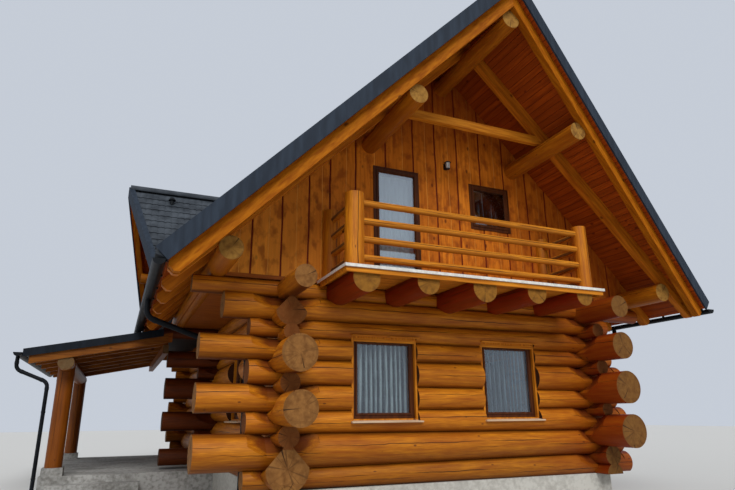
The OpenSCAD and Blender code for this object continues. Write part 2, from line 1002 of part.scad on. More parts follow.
// Four rails in front and at each end, let into the posts with a shoulder
module balcony_rails() {
    color("goldenrod")
        difference() {
            for (i = [0:3]) {
                z = deck_z + rail_low + i * rail_step;
                translate([bposts[0], bpost_y, z])
                    rotate([0, 90, 0])
                        cylinder(h = bposts[1] - bposts[0], r = rail_r);
                for (x = bposts)
                    translate([x, bpost_y, z])
                        rotate([-90, 0, 0])
                            cylinder(h = wall_face - bpost_y, r = rail_r);
            }
            for (k = [0, 1])
                for (y = [bpost_y, wall_face])
                    translate([bposts[k], y, 0])
                        cylinder(h = far, r = bpost_r[k] + log_fit);
        }
}

// Windows and doors

// A rectangular ring in X-Z, from the outside size and the member width
module ring(w, h, t) {
    difference() {
        translate([-w / 2, 0])
            square([w, h]);
        translate([-w / 2 + t, t])
            square([w - 2 * t, h - 2 * t]);
    }
}

// Places a child made for the front wall, facing -Y, at each log wall window
module at_log_windows() {
    for (x = [win_left, win_right]) {
        translate([x, 0, win_sill])
            children();
        translate([x, house_l, win_sill])
            rotate([0, 0, 180])
                children();
    }
    for (y = left_windows)
        translate([-hw, y, win_sill])
            rotate([0, 0, -90])
                children();
    for (y = right_windows)
        translate([hw, y, win_sill])
            rotate([0, 0, 90])
                children();
}

module window_linings() {
    color("goldenrod")
        at_log_windows()
            along_y(-115, 200)
                ring(win_w - 1, win_h - 1, lining_t);
}

module window_frames() {
    color("saddlebrown")
        at_log_windows()
            along_y(-60, -60 + frame_d)
                translate([0, lining_t])
                    ring(win_w - 2 * lining_t - 1, win_h - 2 * lining_t - 1, frame_w);
}

module window_glass() {
    t = lining_t + frame_w;
    color("lightblue", 0.5)
        at_log_windows()
            along_y(-40, -40 + glass_t)
                translate([-win_w / 2 + t, t])
                    square([win_w - 2 * t - 1, win_h - 2 * t - 1]);
}

// Places a child made for the front wall at each attic window
module at_attic_windows() {
    z = floor_z + attic_sill;
    translate([attic_win_x, 0, z])
        children();
    for (x = [-attic_win_x, attic_win_x])
        translate([x, house_l, z])
            rotate([0, 0, 180])
                children();
    translate([-hw, side_y, z])
        rotate([0, 0, -90])
            children();
}

module attic_frames() {
    color("saddlebrown")
        at_attic_windows()
            along_y(-gable_t / 2 - 12, -gable_t / 2 - 12 + frame_d)
                ring(attic_win - 1, attic_win - 1, frame_w);
}

module attic_glass() {
    t = frame_w;
    color("lightblue", 0.5)
        at_attic_windows()
            along_y(-gable_t / 2 + 10, -gable_t / 2 + 10 + glass_t)
                translate([-attic_win / 2 + t, t])
                    square([attic_win - 2 * t - 1, attic_win - 2 * t - 1]);
}

module balcony_door() {
    y = -gable_t / 2 - 12;
    color("saddlebrown")
        translate([bdoor_x, 0, floor_z + floor_t]) {
            along_y(y, y + frame_d)
                ring(bdoor_w - 1, bdoor_h - 1, frame_w);
            along_y(y + 15, y + 15 + glass_t)
                translate([-bdoor_w / 2 + frame_w, frame_w])
                    square([bdoor_w - 2 * frame_w - 1, bdoor_h - 2 * frame_w - 1]);
        }
}

module entrance_door() {
    h = entry_h - 1;
    color("saddlebrown")
        translate([-hw, entry_y, plinth_h])
            rotate([0, 0, -90]) {
                along_y(-215, 200)
                    difference() {
                        translate([-entry_w / 2 + 0.5, 0])
                            square([entry_w - 1, h]);
                        translate([-entry_w / 2 + 60, -1])
                            square([entry_w - 120, h - 59]);
                    }
                along_y(-40, 20)
                    translate([-entry_w / 2 + 60 + log_fit, 10])
                        square([entry_w - 120 - 2 * log_fit, h - 69 - log_fit]);
            }
}

module wall_lantern() {
    x = (bdoor_x + attic_win_x) / 2 + 45;
    z = floor_z + 2410;
    color("black")
        translate([x, -gable_t / 2, z]) {
            translate([-35, -18, -60])
                cube([70, 18, 120]);
            translate([-10, -70, 40])
                cube([20, 55, 20]);
            translate([0, -95, -80])
                cylinder(h = 130, r = 42);
            translate([0, -95, 50])
                cylinder(h = 30, r = 62);
        }
}

// Porch

porch_x = -hw - porch_out;
porch_y0 = cross_y - porch_front;
porch_y1 = porch_y0 + porch_l;
porch_t = tan(porch_pitch);
function porch_top(x) = porch_z + (x - porch_x) * porch_t;
porch_inner = -hw - plate_out - 30;
porch_cover_t = 90;
porch_rafter_d = 150;
porch_beam_r = 150;
porch_beam_x = porch_x + 760;
porch_ledger_x = -hw - end_butt - 60 - log_fit;
porch_posts_y = [porch_y0 + 560, porch_y1 - 560];

// Outline of the porch roof between two depths under its upper face, in X-Z
module porch_outline(x0, x1, a, b) {
    polygon([
        [x0, porch_top(x0) - b],
        [x1, porch_top(x1) - b],
        [x1, porch_top(x1) - a],
        [x0, porch_top(x0) - a]
    ]);
}

porch_slab_x = porch_beam_x - pier / 2 - 30;

// A slab with its steps at the front, beside the first post
module porch_slab() {
    x1 = -hw - plinth_t / 2 - log_fit;
    y0 = porch_posts_y[0] - pier / 2 - 30;
    color("silver") {
        block([porch_slab_x, y0, 0], [x1, porch_y1 - 150, porch_slab_h]);
        for (i = [1, 2])
            block([porch_slab_x + 160, y0 - i * step_going, 0],
                [porch_slab_x + 160 + step_w, y0 - (i - 1) * step_going - log_fit, porch_slab_h * (3 - i) / 3]);
    }
}

module porch_piers() {
    color("gray")
        for (y = porch_posts_y)
            block([porch_beam_x - pier / 2, y - pier / 2, porch_slab_h],
                [porch_beam_x + pier / 2, y + pier / 2, porch_slab_h + pier_h]);
}

porch_beam_z = porch_top(porch_beam_x) - porch_cover_t - porch_rafter_d - porch_beam_r + 15;

module porch_posts() {
    z = porch_slab_h + pier_h;
    color("peru")
        difference() {
            for (y = porch_posts_y)
                translate([porch_beam_x, y, z])
                    cylinder(h = porch_beam_z - z, r = porch_post_r);
            beams(log_fit);
        }
}

module beams(grow = 0) {
    translate([porch_beam_x, porch_y0 + 60, porch_beam_z])
        rotate([-90, 0, 0])
            cylinder(h = porch_l - 120, r = porch_beam_r + grow);
}

module porch_beams() {
    x = porch_ledger_x;
    z = porch_top(x) - porch_cover_t - porch_rafter_d;
    color("peru") {
        beams();
        block([x - 60, cross_y - 140, z - 200], [x + 60, house_l + 60, z - 60 * porch_t - log_fit]);
    }
}

module porch_rafters() {
    n = 7;
    step = (porch_l - 200) / (n - 1);
    color("goldenrod")
        difference() {
            for (i = [0:n - 1])
                along_y(porch_y0 + 60 + i * step, porch_y0 + 140 + i * step)
                    porch_outline(porch_x + 120, porch_ledger_x + 59, porch_cover_t,
                        porch_cover_t + porch_rafter_d + (i % (n - 1) == 0 ? 45 : 0));
            beams(log_fit);
        }
}

module porch_roof() {
    color("dimgray") {
        along_y(porch_y0, porch_y1)
            porch_outline(porch_x, porch_inner, 0, porch_cover_t - log_fit);
        along_y(cross_y + 300, side_end - 100)
            porch_outline(porch_inner + log_fit, -hw - 240, 0, porch_cover_t - log_fit);
    }
}

module porch_flashing() {
    color("darkslategray")
        for (y = [porch_y0 - 14, porch_y1 + log_fit])
            along_y(y, y + 14 - log_fit)
                porch_outline(porch_x - 4, porch_inner, -14, porch_cover_t + 50);
}

// The porch gutter and its downpipe, which is led back beside the first post
module porch_gutter() {
    x = porch_x - gutter_r - 8;
    z = porch_z - 60 - gutter_r - log_fit;
    foot = porch_beam_x - porch_post_r - 110;
    r = 36;
    y = porch_y0 + 60;
    color("dimgray") {
        gutter_run(x, porch_y0 - 60, porch_y1 + 60, porch_z - 60);
        gutter_hooks(x + gutter_r - 3, porch_x - log_fit, porch_y0, porch_y1, porch_z - 80, porch_z - 62);
        translate([x, y, z - 240])
            cylinder(h = 240, r = r);
        translate([x, y, z - 240])
            sphere(r + 4);
        translate([x, y, z - 240])
            rotate([0, 180 - atan2(foot - x, 240), 0])
                cylinder(h = norm([foot - x, 240]), r = r);
        translate([foot, y, z - 480])
            sphere(r + 4);
        translate([foot, y, 0])
            cylinder(h = z - 480, r = r);
    }
}

// Nodes

plinth();
ground_floor();
front_log_wall();
back_log_wall();
cross_log_wall();
left_log_wall();
right_log_wall();
attic_floor();
front_gable();
back_gable();
side_gable();
main_purlins();
side_purlins();
verge_rafters();
common_rafters();
collar_ties();
roof_boarding();
roof_covering();
verge_flashings();
ridge_caps();
roof_vent();
gutters();
downpipes();
balcony_joists();
balcony_deck();
balcony_posts();
balcony_rails();
window_linings();
window_frames();
window_glass();
attic_frames();
attic_glass();
balcony_door();
entrance_door();
wall_lantern();
porch_slab();
porch_piers();
porch_posts();
porch_beams();
porch_rafters();
porch_roof();
porch_flashing();
porch_gutter();
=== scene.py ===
import math

import bmesh
import bpy
import numpy as np
from mathutils import Matrix, Vector


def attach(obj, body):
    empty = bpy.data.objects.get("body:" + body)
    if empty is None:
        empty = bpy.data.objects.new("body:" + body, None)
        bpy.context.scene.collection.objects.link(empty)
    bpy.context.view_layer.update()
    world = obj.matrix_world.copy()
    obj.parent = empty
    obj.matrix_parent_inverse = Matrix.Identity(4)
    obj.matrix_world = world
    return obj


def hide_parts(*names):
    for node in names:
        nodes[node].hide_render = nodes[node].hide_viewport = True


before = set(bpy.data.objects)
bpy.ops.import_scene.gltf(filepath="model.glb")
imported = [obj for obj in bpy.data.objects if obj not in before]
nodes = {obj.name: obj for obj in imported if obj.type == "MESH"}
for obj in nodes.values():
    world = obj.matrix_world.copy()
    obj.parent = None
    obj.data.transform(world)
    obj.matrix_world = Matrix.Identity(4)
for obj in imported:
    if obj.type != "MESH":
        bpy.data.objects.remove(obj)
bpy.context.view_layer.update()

scene = bpy.context.scene
rng = np.random.default_rng(7)


# The view: from 1.5 m above the ground off the front left corner, up at the gable.
# An overcast winter sky lights the house from all round, with its brighter part in front.
yaw, tilt, roll = math.radians(23.45), math.radians(16.8), math.radians(-0.48)
forward = Vector((math.sin(yaw) * math.cos(tilt), math.cos(yaw) * math.cos(tilt), math.sin(tilt)))
right = Vector((math.cos(yaw), -math.sin(yaw), 0))
above = right.cross(forward)
right, above = (right * math.cos(roll) + above * math.sin(roll),
                above * math.cos(roll) - right * math.sin(roll))
camera = bpy.data.objects.new("camera", bpy.data.cameras.new("camera"))
camera.matrix_world = Matrix((
    (right.x, above.x, -forward.x, -5.159),
    (right.y, above.y, -forward.y, -8.36),
    (right.z, above.z, -forward.z, 1.50),
    (0, 0, 0, 1)))
focal_px, photo_px = 565, 735
camera.data.sensor_width = 36
camera.data.lens = 36 * focal_px / photo_px
camera.data.clip_end = 300
scene.collection.objects.link(camera)
scene.camera = camera
scene.view_settings.view_transform = "Standard"


def rgb(code):
    """An sRGB hex colour as linear red, green, blue and alpha."""
    c = np.array([int(code[i:i + 2], 16) for i in (0, 2, 4)]) / 255
    return (*np.where(c <= 0.04045, c / 12.92, ((c + 0.055) / 1.055) ** 2.4), 1.0)


def put(tree, kind, *numbered, out=0, stops=(), **named):
    """Adds a node, whose kind may end in its operation, and returns one output, or all of them
    where out is None. Values without a name fill its sockets in order, a capital opens a
    socket's name, other names are settings, and stops fill a colour ramp. A text value is an
    sRGB hex colour."""
    kind, *operation = kind.split()
    n = tree.nodes.new("ShaderNode" + kind)
    if operation:
        n.operation = operation[0]
    sockets = dict(enumerate(numbered))
    for name, value in named.items():
        if name[0].isupper():
            sockets[name] = value
        else:
            setattr(n, name, value)
    for i, (at, colour) in enumerate(stops):
        e = n.color_ramp.elements[i] if i < 2 else n.color_ramp.elements.new(at)
        e.position = at
        e.color = rgb(colour) if isinstance(colour, str) else colour
    for name, value in sockets.items():
        if isinstance(value, bpy.types.NodeSocket):
            tree.links.new(value, n.inputs[name])
        else:
            n.inputs[name].default_value = rgb(value) if isinstance(value, str) else value
    return n.outputs if out is None or not len(n.outputs) else n.outputs[out]


world = bpy.data.worlds.new("sky")
world.use_nodes = True
tree = world.node_tree
tree.nodes.clear()
rays = put(tree, "LightPath", out=None)
seen = put(tree, "Math MAXIMUM", rays["Is Camera Ray"], rays["Is Glossy Ray"])
seen = put(tree, "Math MAXIMUM", seen, rays["Is Transmission Ray"])
light = put(tree, "Background", Color="EDF1F7", Strength=0.38)
backdrop = put(tree, "Background", Color="CDD4DF", Strength=0.92)
both = put(tree, "MixShader", seen, light, backdrop)
put(tree, "OutputWorld", Surface=both)
scene.world = world

for name, angles, strength, spread in (
        ("bright_sky", (48, 0, -12), 2.4, 36),
        ("side_sky", (58, 0, -78), 0.30, 60)):
    lamp = bpy.data.objects.new(name, bpy.data.lights.new(name, "SUN"))
    lamp.data.energy = strength
    lamp.data.angle = math.radians(spread)
    lamp.rotation_euler = [math.radians(a) for a in angles]
    scene.collection.objects.link(lamp)


# Ground: a level pale studio floor, painted matt, which takes the house's shadow. It is not
# part of the house, and the house only stands on it.
def finish_material(name):
    """A new material with an empty tree, and its tree."""
    m = bpy.data.materials.new(name)
    m.use_nodes = True
    m.node_tree.nodes.clear()
    return m, m.node_tree


def surface(tree, colour, roughness, height=None, depth=0.004, gloss=0.2, **extra):
    """Ends a tree in one Principled shader, with a bump of that depth in metres."""
    sockets = {"Base Color": colour, "Roughness": roughness, "Specular IOR Level": gloss, **extra}
    if height is not None:
        sockets["Normal"] = put(tree, "Bump", Height=height, Distance=depth, Strength=1.0)
    put(tree, "OutputMaterial", Surface=put(tree, "BsdfPrincipled", **sockets))


corners = [(-60, -60, -0.002), (60, -60, -0.002), (60, 70, -0.002), (-60, 70, -0.002)]
floor_mesh = bpy.data.meshes.new("studio_floor")
floor_mesh.from_pydata(corners, [], [(0, 1, 2, 3)])
studio_floor = bpy.data.objects.new("studio_floor", floor_mesh)
scene.collection.objects.link(studio_floor)
pale_floor, tree = finish_material("pale_floor")
surface(tree, "D4D4D2", 0.9)
floor_mesh.materials.append(pale_floor)


# Plinth, ground floor and porch slab: cast concrete, with a thin cement render that shows
# trowel marks, fine pores of 2 to 6 mm and damp stains in broad clouds.
def place(tree):
    """Object coordinates in metres, and their three parts."""
    here = put(tree, "TexCoord", out=3)
    return here, put(tree, "SeparateXYZ", here, out=None)


def dress(names, material):
    """Gives CAD nodes one material."""
    for n in names.split():
        mesh = nodes[n].data
        mesh.materials.clear()
        mesh.materials.append(material)


def concrete(name, pale, damp):
    """Clouds of two greys at 0.8 m and trowel marks at 60 mm. Pores are drawn at 9 mm, coarser
    than the real ones, to show as pits."""
    m, tree = finish_material(name)
    here, _ = place(tree)
    marks = put(tree, "TexNoise", Vector=here, Scale=16.0, Detail=3.0)
    pores = put(tree, "TexVoronoi", Vector=here, Scale=110.0)
    tone = put(tree, "Math MULTIPLY", put(tree, "TexNoise", Vector=here, Scale=1.3, Detail=5.0), marks)
    colour = put(tree, "ValToRGB", tone, stops=[(0.13, damp), (0.34, pale)])
    height = put(tree, "Math MULTIPLY_ADD", marks, 0.7, put(tree, "MapRange", pores, 0.0, 0.35))
    surface(tree, colour, 0.86, height, 0.003)
    return m


dress("plinth", concrete("rendered_concrete", "BFBDB5", "A3A098"))
dress("ground_floor porch_slab porch_piers", concrete("cast_concrete", "A9A8A4", "75736E"))


# Log walls: whole spruce logs, peeled with a drawknife, notched over each other and scribed
# down their length, then brushed with two coats of honey stain, so that the grain, knots and
# drying cracks show through and the sawn ends and notch scarfs drink the stain and go darker.
def log_steps(tree, key, edges, values, low, high):
    """Picks one value triple per log. The edges are where one log's values end on the key's
    axis and the next one's begin, between low and high."""
    at = put(tree, "MapRange", key, low, high)
    starts = [(e - low) / (high - low) for e in [low, *edges]]
    steps = put(tree, "ValToRGB", at, stops=[(e, (*v, 1.0)) for e, v in zip(starts, values)])
    steps.node.color_ramp.interpolation = "CONSTANT"
    return put(tree, "SeparateColor", steps, out=None)


def tint(tree, base, colour, value, *limits):
    """Lays a colour over a base: the limits are the value's two ends and the colour's share at
    each. Without shares it goes from none to all."""
    return put(tree, "MixRGB", put(tree, "MapRange", value, *limits), base, colour)


def stained_log(name, grain, first, second, tone=("D88616", "9A4E08"), ends=("936533", "6A431F"),
                tips=None, shade=0.4, scribed=False, end_shade=None):
    """Solid wood round a heart line. first and second give, for each axis across the grain, the
    axis that tells the logs apart, the edges between them, their hearts and their radii.
    Rings are the distance from the heart bent by noise, and streaks are noise drawn out
    14 times along the grain. Knots and cracks lie on the angle round the heart.
    tips gives the logs' middle and how far from it their short tips end, and end_shade gives an
    axis, a place on it, the distances from there where a painted shade in dark red begins and is
    full, and how much of it there is."""
    m, tree = finish_material(name)
    part = dict(zip("xyz", place(tree)[1]))
    along = part[grain]
    local, seeds = [], []
    # A colour holds 0 to 1, so hearts are kept as their share of the 24 m from -8 m
    heart_low, heart_span = -8.0, 24.0
    others = [a for a in "xyz" if a != grain]
    for axis, (key, edges, hearts, radii) in zip(others, (first, second)):
        values = [((h - heart_low) / heart_span, (i * 0.377 + 0.11) % 1, r)
                  for i, (h, r) in enumerate(zip(hearts, radii))]
        steps = log_steps(tree, part[key], edges, values, heart_low, 8 if key == "z" else 16)
        heart = put(tree, "Math MULTIPLY_ADD", steps[0], heart_span, heart_low)
        local.append(put(tree, "Math SUBTRACT", part[axis], heart))
        seeds.append(steps[1])
        radius = steps[2]
    seed = put(tree, "Math MULTIPLY", put(tree, "Math ADD", *seeds), 31.0)
    across = put(tree, "CombineXYZ", 0.0, *local)
    far = put(tree, "VectorMath LENGTH", across, out=1)
    turn = put(tree, "VectorMath NORMALIZE", across)
    start = put(tree, "CombineXYZ", seed, seed, seed)
    nowhere = put(tree, "CombineXYZ")

    def stretched(base, length, breadth, scale, detail=None):
        """Noise, or cells where no detail is given, at those scales along and across the log,
        which starts at another place for each log."""
        v = put(tree, "CombineXYZ", put(tree, "Math MULTIPLY", along, length))
        v = put(tree, "VectorMath MULTIPLY_ADD", base, (breadth,) * 3, v)
        v = put(tree, "VectorMath ADD", v, start)
        if detail is None:
            return put(tree, "TexVoronoi", Vector=v, Scale=scale)
        return put(tree, "TexNoise", Vector=v, Scale=scale, Detail=detail)

    streaks = stretched(across, 0.07, 1.0, 22.0, 6.0)
    fine = stretched(across, 0.06, 1.0, 95.0, 3.0)
    clouds = stretched(across, 0.6, 1.0, 2.2, 2.0)
    # Rings drawn 15 mm apart, wider than the real ones, to show
    ring = put(tree, "Math MULTIPLY", put(tree, "Math MULTIPLY_ADD", clouds, 0.05, far), 420.0)
    ring = put(tree, "MapRange", put(tree, "Math SINE", ring), -1.0, 1.0)
    # Knots: one in each cell of 0.4 m by 50 degrees, 25 mm across and 60 mm long
    knot = put(tree, "MapRange", stretched(turn, 1.9, 0.8, 1.35), 0.045, 0.085, 1.0, 0.0)
    # Drying cracks: up to two a log, each at its own angle, that waver and taper along the log
    side_on = put(tree, "SeparateXYZ", turn, out=None)
    waver = stretched(nowhere, 1.0, 0.0, 1.5, 5.0)
    waver = put(tree, "Math MULTIPLY_ADD", waver, 0.34, side_on[1 if grain == "z" else 2])
    chance = put(tree, "TexWhiteNoise", W=seed, noise_dimensions="1D")
    waver = put(tree, "Math MULTIPLY_ADD", chance, 0.5, waver)
    open_here = stretched(nowhere, 0.6, 0.0, 1.0, 3.0)
    crack = 0.0
    for at, low, high in ((0.62, 0.46, 0.60), (0.22, 0.50, 0.38)):
        apart = put(tree, "Math ABSOLUTE", put(tree, "Math SUBTRACT", waver, at))
        apart = put(tree, "Math MULTIPLY", apart, far)
        width = put(tree, "MapRange", open_here, low, high, 0.0, 0.0055)
        hit = put(tree, "Math LESS_THAN", apart, width)
        crack = put(tree, "Math MAXIMUM", crack, hit)
    bark = tint(tree, tone[1], tone[0], streaks, 0.24, 0.62)
    bark = tint(tree, bark, "7C3E08", fine, 0.3, 0.7, 0.5, 0.0)
    bark = tint(tree, bark, tone[1], clouds, 0.42, 0.7, 0.0, 0.5)
    if grain != "z":
        # Painted shade: the undersides are darkened towards a deep red-brown, as less sky light reaches
        # them
        bark = tint(tree, bark, "6E3002", side_on[2], -0.95, 0.1, shade, 0.0)
    if scribed:
        # Rain that splashes up has darkened the lowest logs
        bark = tint(tree, bark, "2E1404", part["z"], 0.75, 1.35, 0.36, 0.0)
        # Painted shade in the scribed joints above and below, where the logs meet
        bark = tint(tree, bark, "3E1603", put(tree, "Math ABSOLUTE", side_on[2]), 0.70, 0.97, 0.0, 0.85)
    if end_shade:
        # Painted shade: a dark red laid over the ends that the balcony and the verges shade
        axis, centre, near, full, amount = end_shade
        there = put(tree, "Math ABSOLUTE", put(tree, "Math SUBTRACT", part[axis], centre))
        bark = tint(tree, bark, "7A2004", there, near, full, 0.0, amount)
    # Scarfs and notches lie deeper than the round surface
    depth = put(tree, "Math SUBTRACT", radius, far)
    bark = tint(tree, bark, "64290A", depth, 0.026, 0.055, 0.0, 0.78)
    bark = put(tree, "MixRGB", put(tree, "Math MULTIPLY", knot, 0.8), bark, "54250B")
    bark = put(tree, "MixRGB", put(tree, "Math MULTIPLY", crack, 0.85), bark, "2A1206")
    # Sawn ends: the rings, one wide check from the heart to the rim, and a few fine ones
    spun = put(tree, "VectorRotate", Vector=turn, Axis=(1, 0, 0), Angle=seed)
    legs = put(tree, "SeparateXYZ", spun, out=None)
    bent = put(tree, "Math MULTIPLY_ADD", clouds, 0.3, legs[1])
    bent = put(tree, "Math ABSOLUTE", put(tree, "Math SUBTRACT", bent, 0.15))
    check = put(tree, "Math LESS_THAN", bent, put(tree, "MapRange", legs[2], -0.2, 0.4, 0.0, 0.034))
    v = put(tree, "VectorMath ADD", turn, start)
    rays = put(tree, "TexVoronoi", Vector=v, Scale=1.5, feature="DISTANCE_TO_EDGE")
    rays = put(tree, "Math MULTIPLY", put(tree, "MapRange", rays, 0.03, 0.0),
                put(tree, "MapRange", clouds, 0.42, 0.6, 0.1, 0.8))
    sawn = put(tree, "MixRGB", put(tree, "Math MULTIPLY", ring, 0.35), ends[0], ends[1])
    sawn = tint(tree, sawn, ends[1], streaks, 0.35, 0.75, 0.0, 0.5)
    # Weather has left dark blotches 50 to 100 mm wide on the ends
    blotches = stretched(across, 0.6, 1.0, 11.0, 3.0)
    sawn = tint(tree, sawn, "56300E", blotches, 0.46, 0.68, 0.0, 0.55)
    if tips:
        # The ends of the tapered tips are darker than the long butt ends and the sill logs
        middle, reach = tips
        out = put(tree, "Math ABSOLUTE", put(tree, "Math SUBTRACT", along, middle))
        short = put(tree, "MapRange", out, reach + 0.02, reach + 0.12, 0.62, 0.0)
        short = put(tree, "Math MULTIPLY", short, put(tree, "Math GREATER_THAN", heart, 0.9))
        sawn = put(tree, "MixRGB", short, sawn, "74380E")
    sawn = put(tree, "MixRGB", rays, sawn, "3E2410")
    # A dark rim of stain
    sawn = tint(tree, sawn, "66401A", depth, 0.014, 0.0, 0.0, 0.4)
    sawn = put(tree, "MixRGB", put(tree, "Math MULTIPLY", check, 0.9), sawn, "2B180B")
    if tips:
        # Painted shade: ends cut for the windows and doors are darkened in their narrow gap beside the
        # linings
        sawn = tint(tree, sawn, "2C1004", out, reach - 0.7, reach - 0.5, 0.9, 0.0)
    facing = put(tree, "SeparateXYZ", put(tree, "TexCoord", out=1), out="xyz".index(grain))
    is_end = put(tree, "Math GREATER_THAN", put(tree, "Math ABSOLUTE", facing), 0.9)
    height = put(tree, "Math MULTIPLY_ADD", streaks, 0.35, fine)
    height = put(tree, "Math MULTIPLY_ADD", crack, -2.2, height)
    end_height = put(tree, "Math MULTIPLY_ADD", check, -2.0, put(tree, "Math MULTIPLY", ring, 0.4))
    height = put(tree, "Mix", Factor=is_end, A=height, B=end_height, data_type="FLOAT")
    rough = put(tree, "MapRange", is_end, 0.0, 1.0, 0.5, 0.85)
    surface(tree, put(tree, "MixRGB", is_end, bark, sawn), rough, height, 0.0035)
    return m


half_w, house_l, plinth_top, scribe, tip = 2.92, 11, 0.5, 0.03, 0.54
course = np.array([306, 434, 344, 342, 392, 302, 301, 329, 234]) / 1000
joints = plinth_top + np.concatenate([[0], np.cumsum(course)])
left_radii = np.array([140, 270, 185, 210, 180, 225, 150, 200, 195]) / 1000
right_radii = np.array([140, 200, 240, 150, 240, 165, 200, 160, 225]) / 1000


def side_hearts(radii):
    """Axis heights: each log lies its own and the lower log's radius, less the scribe, higher."""
    rises = np.cumsum(radii[1:-1] + radii[2:] - scribe)
    return np.concatenate([[plinth_top], joints[1] + np.concatenate([[0], rises])])


walls_y = ("y", [2.75, 8.25], [0, house_l / 2, house_l], [0.2] * 3)
end_logs = ("z", joints[1:-1].tolist(), (joints[:-1] + joints[1:]) / 2, (course + scribe) / 2)
end_tips, side_tips = (0, half_w + tip), (house_l / 2, house_l / 2 + tip)
# The painted shade's distance starts far to the left, so it takes the right end only
dress("front_log_wall back_log_wall", stained_log(
    "stained_spruce_logs_x", "x", walls_y, end_logs,
    tips=end_tips, scribed=True, end_shade=("x", -20, 21.4, 23.0, 0.5)))
# The cross wall's dark tone is partly a darker stain and partly painted shade from the porch roof over
# its ends
dress("cross_log_wall", stained_log(
    "stained_spruce_cross_wall", "x", walls_y, end_logs,
    tone=("5A2206", "341203"), ends=("4E2E14", "36200C"), tips=end_tips, scribed=True))
# The right wall's ends get painted shade, for its corners under the balcony and the verges
for node_name, x, radii, more in (
        ("left_log_wall", -half_w, left_radii, {}),
        ("right_log_wall", half_w, right_radii,
         {"ends": ("7E5626", "5A3818"), "end_shade": ("y", house_l / 2, 5.2, 5.8, 0.75)})):
    hearts = side_hearts(radii)
    tops = (hearts[:-1] + radii[:-1] - scribe / 2).tolist()
    dress(node_name, stained_log(
        "stained_spruce_" + node_name, "y", ("x", [20], [x, x], [0.2] * 2),
        ("z", tops, hearts, radii), tips=side_tips, scribed=True, **more))


# Sawn timber: rafters, ties, linings and boards are planed spruce with the same honey stain.
# Planing leaves broad grain with knots 20 to 40 mm across, and the boards' joints are grooves.
pitch = math.radians(44.5)
cos_p, sin_p, slope_tan = math.cos(pitch), math.sin(pitch), math.tan(pitch)
ridge_z, side_y, side_drop = 8.0122, 7.8, 0.616


def slope_frame(tree, xyz):
    """How far down a slope, how far out of it, and how far along its ridge a point lies. The side
    roof's pieces are told from the main roof's by the way that their faces look."""
    looks = put(tree, "SeparateXYZ", put(tree, "TexCoord", out=1), out=None)
    size = [put(tree, "Math ABSOLUTE", o) for o in looks]
    turned = put(tree, "Math GREATER_THAN", size[1], size[0])
    sloping = put(tree, "Math GREATER_THAN", size[2], 0.3)
    side = put(tree, "Math COMPARE", turned, sloping, 0.1)
    main = put(tree, "Math ABSOLUTE", xyz[0])
    cross = put(tree, "Math ABSOLUTE", put(tree, "Math SUBTRACT", xyz[1], side_y))
    level = put(tree, "Mix", Factor=side, A=main, B=cross, data_type="FLOAT")
    along = put(tree, "Mix", Factor=side, A=xyz[1], B=xyz[0], data_type="FLOAT")
    down = put(tree, "Math MULTIPLY_ADD", level, cos_p, put(tree, "Math MULTIPLY", xyz[2], -sin_p))
    out = put(tree, "Math MULTIPLY_ADD", level, sin_p, put(tree, "Math MULTIPLY", xyz[2], cos_p))
    return down, out, along


def planed(name, order, tone, board=None, gap=0.008, seed_from=None, slopes=False,
           rough=0.55, gloss=0.15):
    """Flat-sawn wood. order is the grain's axis and the two across it, of x y z, or of slope,
    out and ridge on a slope. Streaks are noise drawn out 14 times along the grain, knots are
    cells cut at 30 mm, and boards of the given width differ in tone and part at a groove."""
    m, tree = finish_material(name)
    _, xyz = place(tree)
    axes = slope_frame(tree, xyz) if slopes else xyz
    along, wide, deep = (axes["xyz".index(a)] for a in order)
    v = put(tree, "CombineXYZ", along, wide, deep)
    if board:
        course = put(tree, "Math DIVIDE", wide, board)
        number = put(tree, "Math FLOOR", course)
        beside = put(tree, "Math SUBTRACT", put(tree, "Math FRACT", course), 0.5)
        groove = put(tree, "MapRange", put(tree, "Math ABSOLUTE", beside),
                       0.5 - gap / board, 0.5 - 0.3 * gap / board)
    elif seed_from:
        number = put(tree, "Attribute", out=2, attribute_name=seed_from)
    if board or seed_from:
        chance = put(tree, "TexWhiteNoise", W=number, noise_dimensions="1D")
        shift = put(tree, "Math MULTIPLY", chance, 40.0)
        shift = put(tree, "CombineXYZ", shift, shift, shift)
        v = put(tree, "VectorMath ADD", v, shift)
    fibres = put(tree, "VectorMath MULTIPLY", v, (0.07, 1, 1))
    streaks = put(tree, "TexNoise", Vector=fibres, Scale=26.0, Detail=4.0)
    figure = put(tree, "VectorMath MULTIPLY", v, (0.25, 1, 1))
    broad = put(tree, "TexNoise", Vector=figure, Scale=3.5, Detail=2.0)
    knots = put(tree, "VectorMath MULTIPLY", v, (2.6, 4.2, 3.0))
    cells = put(tree, "TexVoronoi", Vector=knots, Scale=1.0)
    colour = tint(tree, tone[1], tone[0], streaks, 0.34, 0.66)
    colour = tint(tree, colour, tone[1], broad, 0.4, 0.72, 0.0, 0.35)
    if board or seed_from:
        colour = tint(tree, colour, tone[1], chance, 0.0, 1.0, 0.0, 0.7)
    colour = tint(tree, colour, tone[2], cells, 0.06, 0.13, 0.8, 0.0)
    height = put(tree, "Math MULTIPLY", streaks, 0.5)
    if board:
        colour = put(tree, "MixRGB", groove, colour, tone[2])
        height = put(tree, "Math MULTIPLY_ADD", groove, -1.6, height)
    surface(tree, colour, rough, height, 0.003, gloss)
    return m


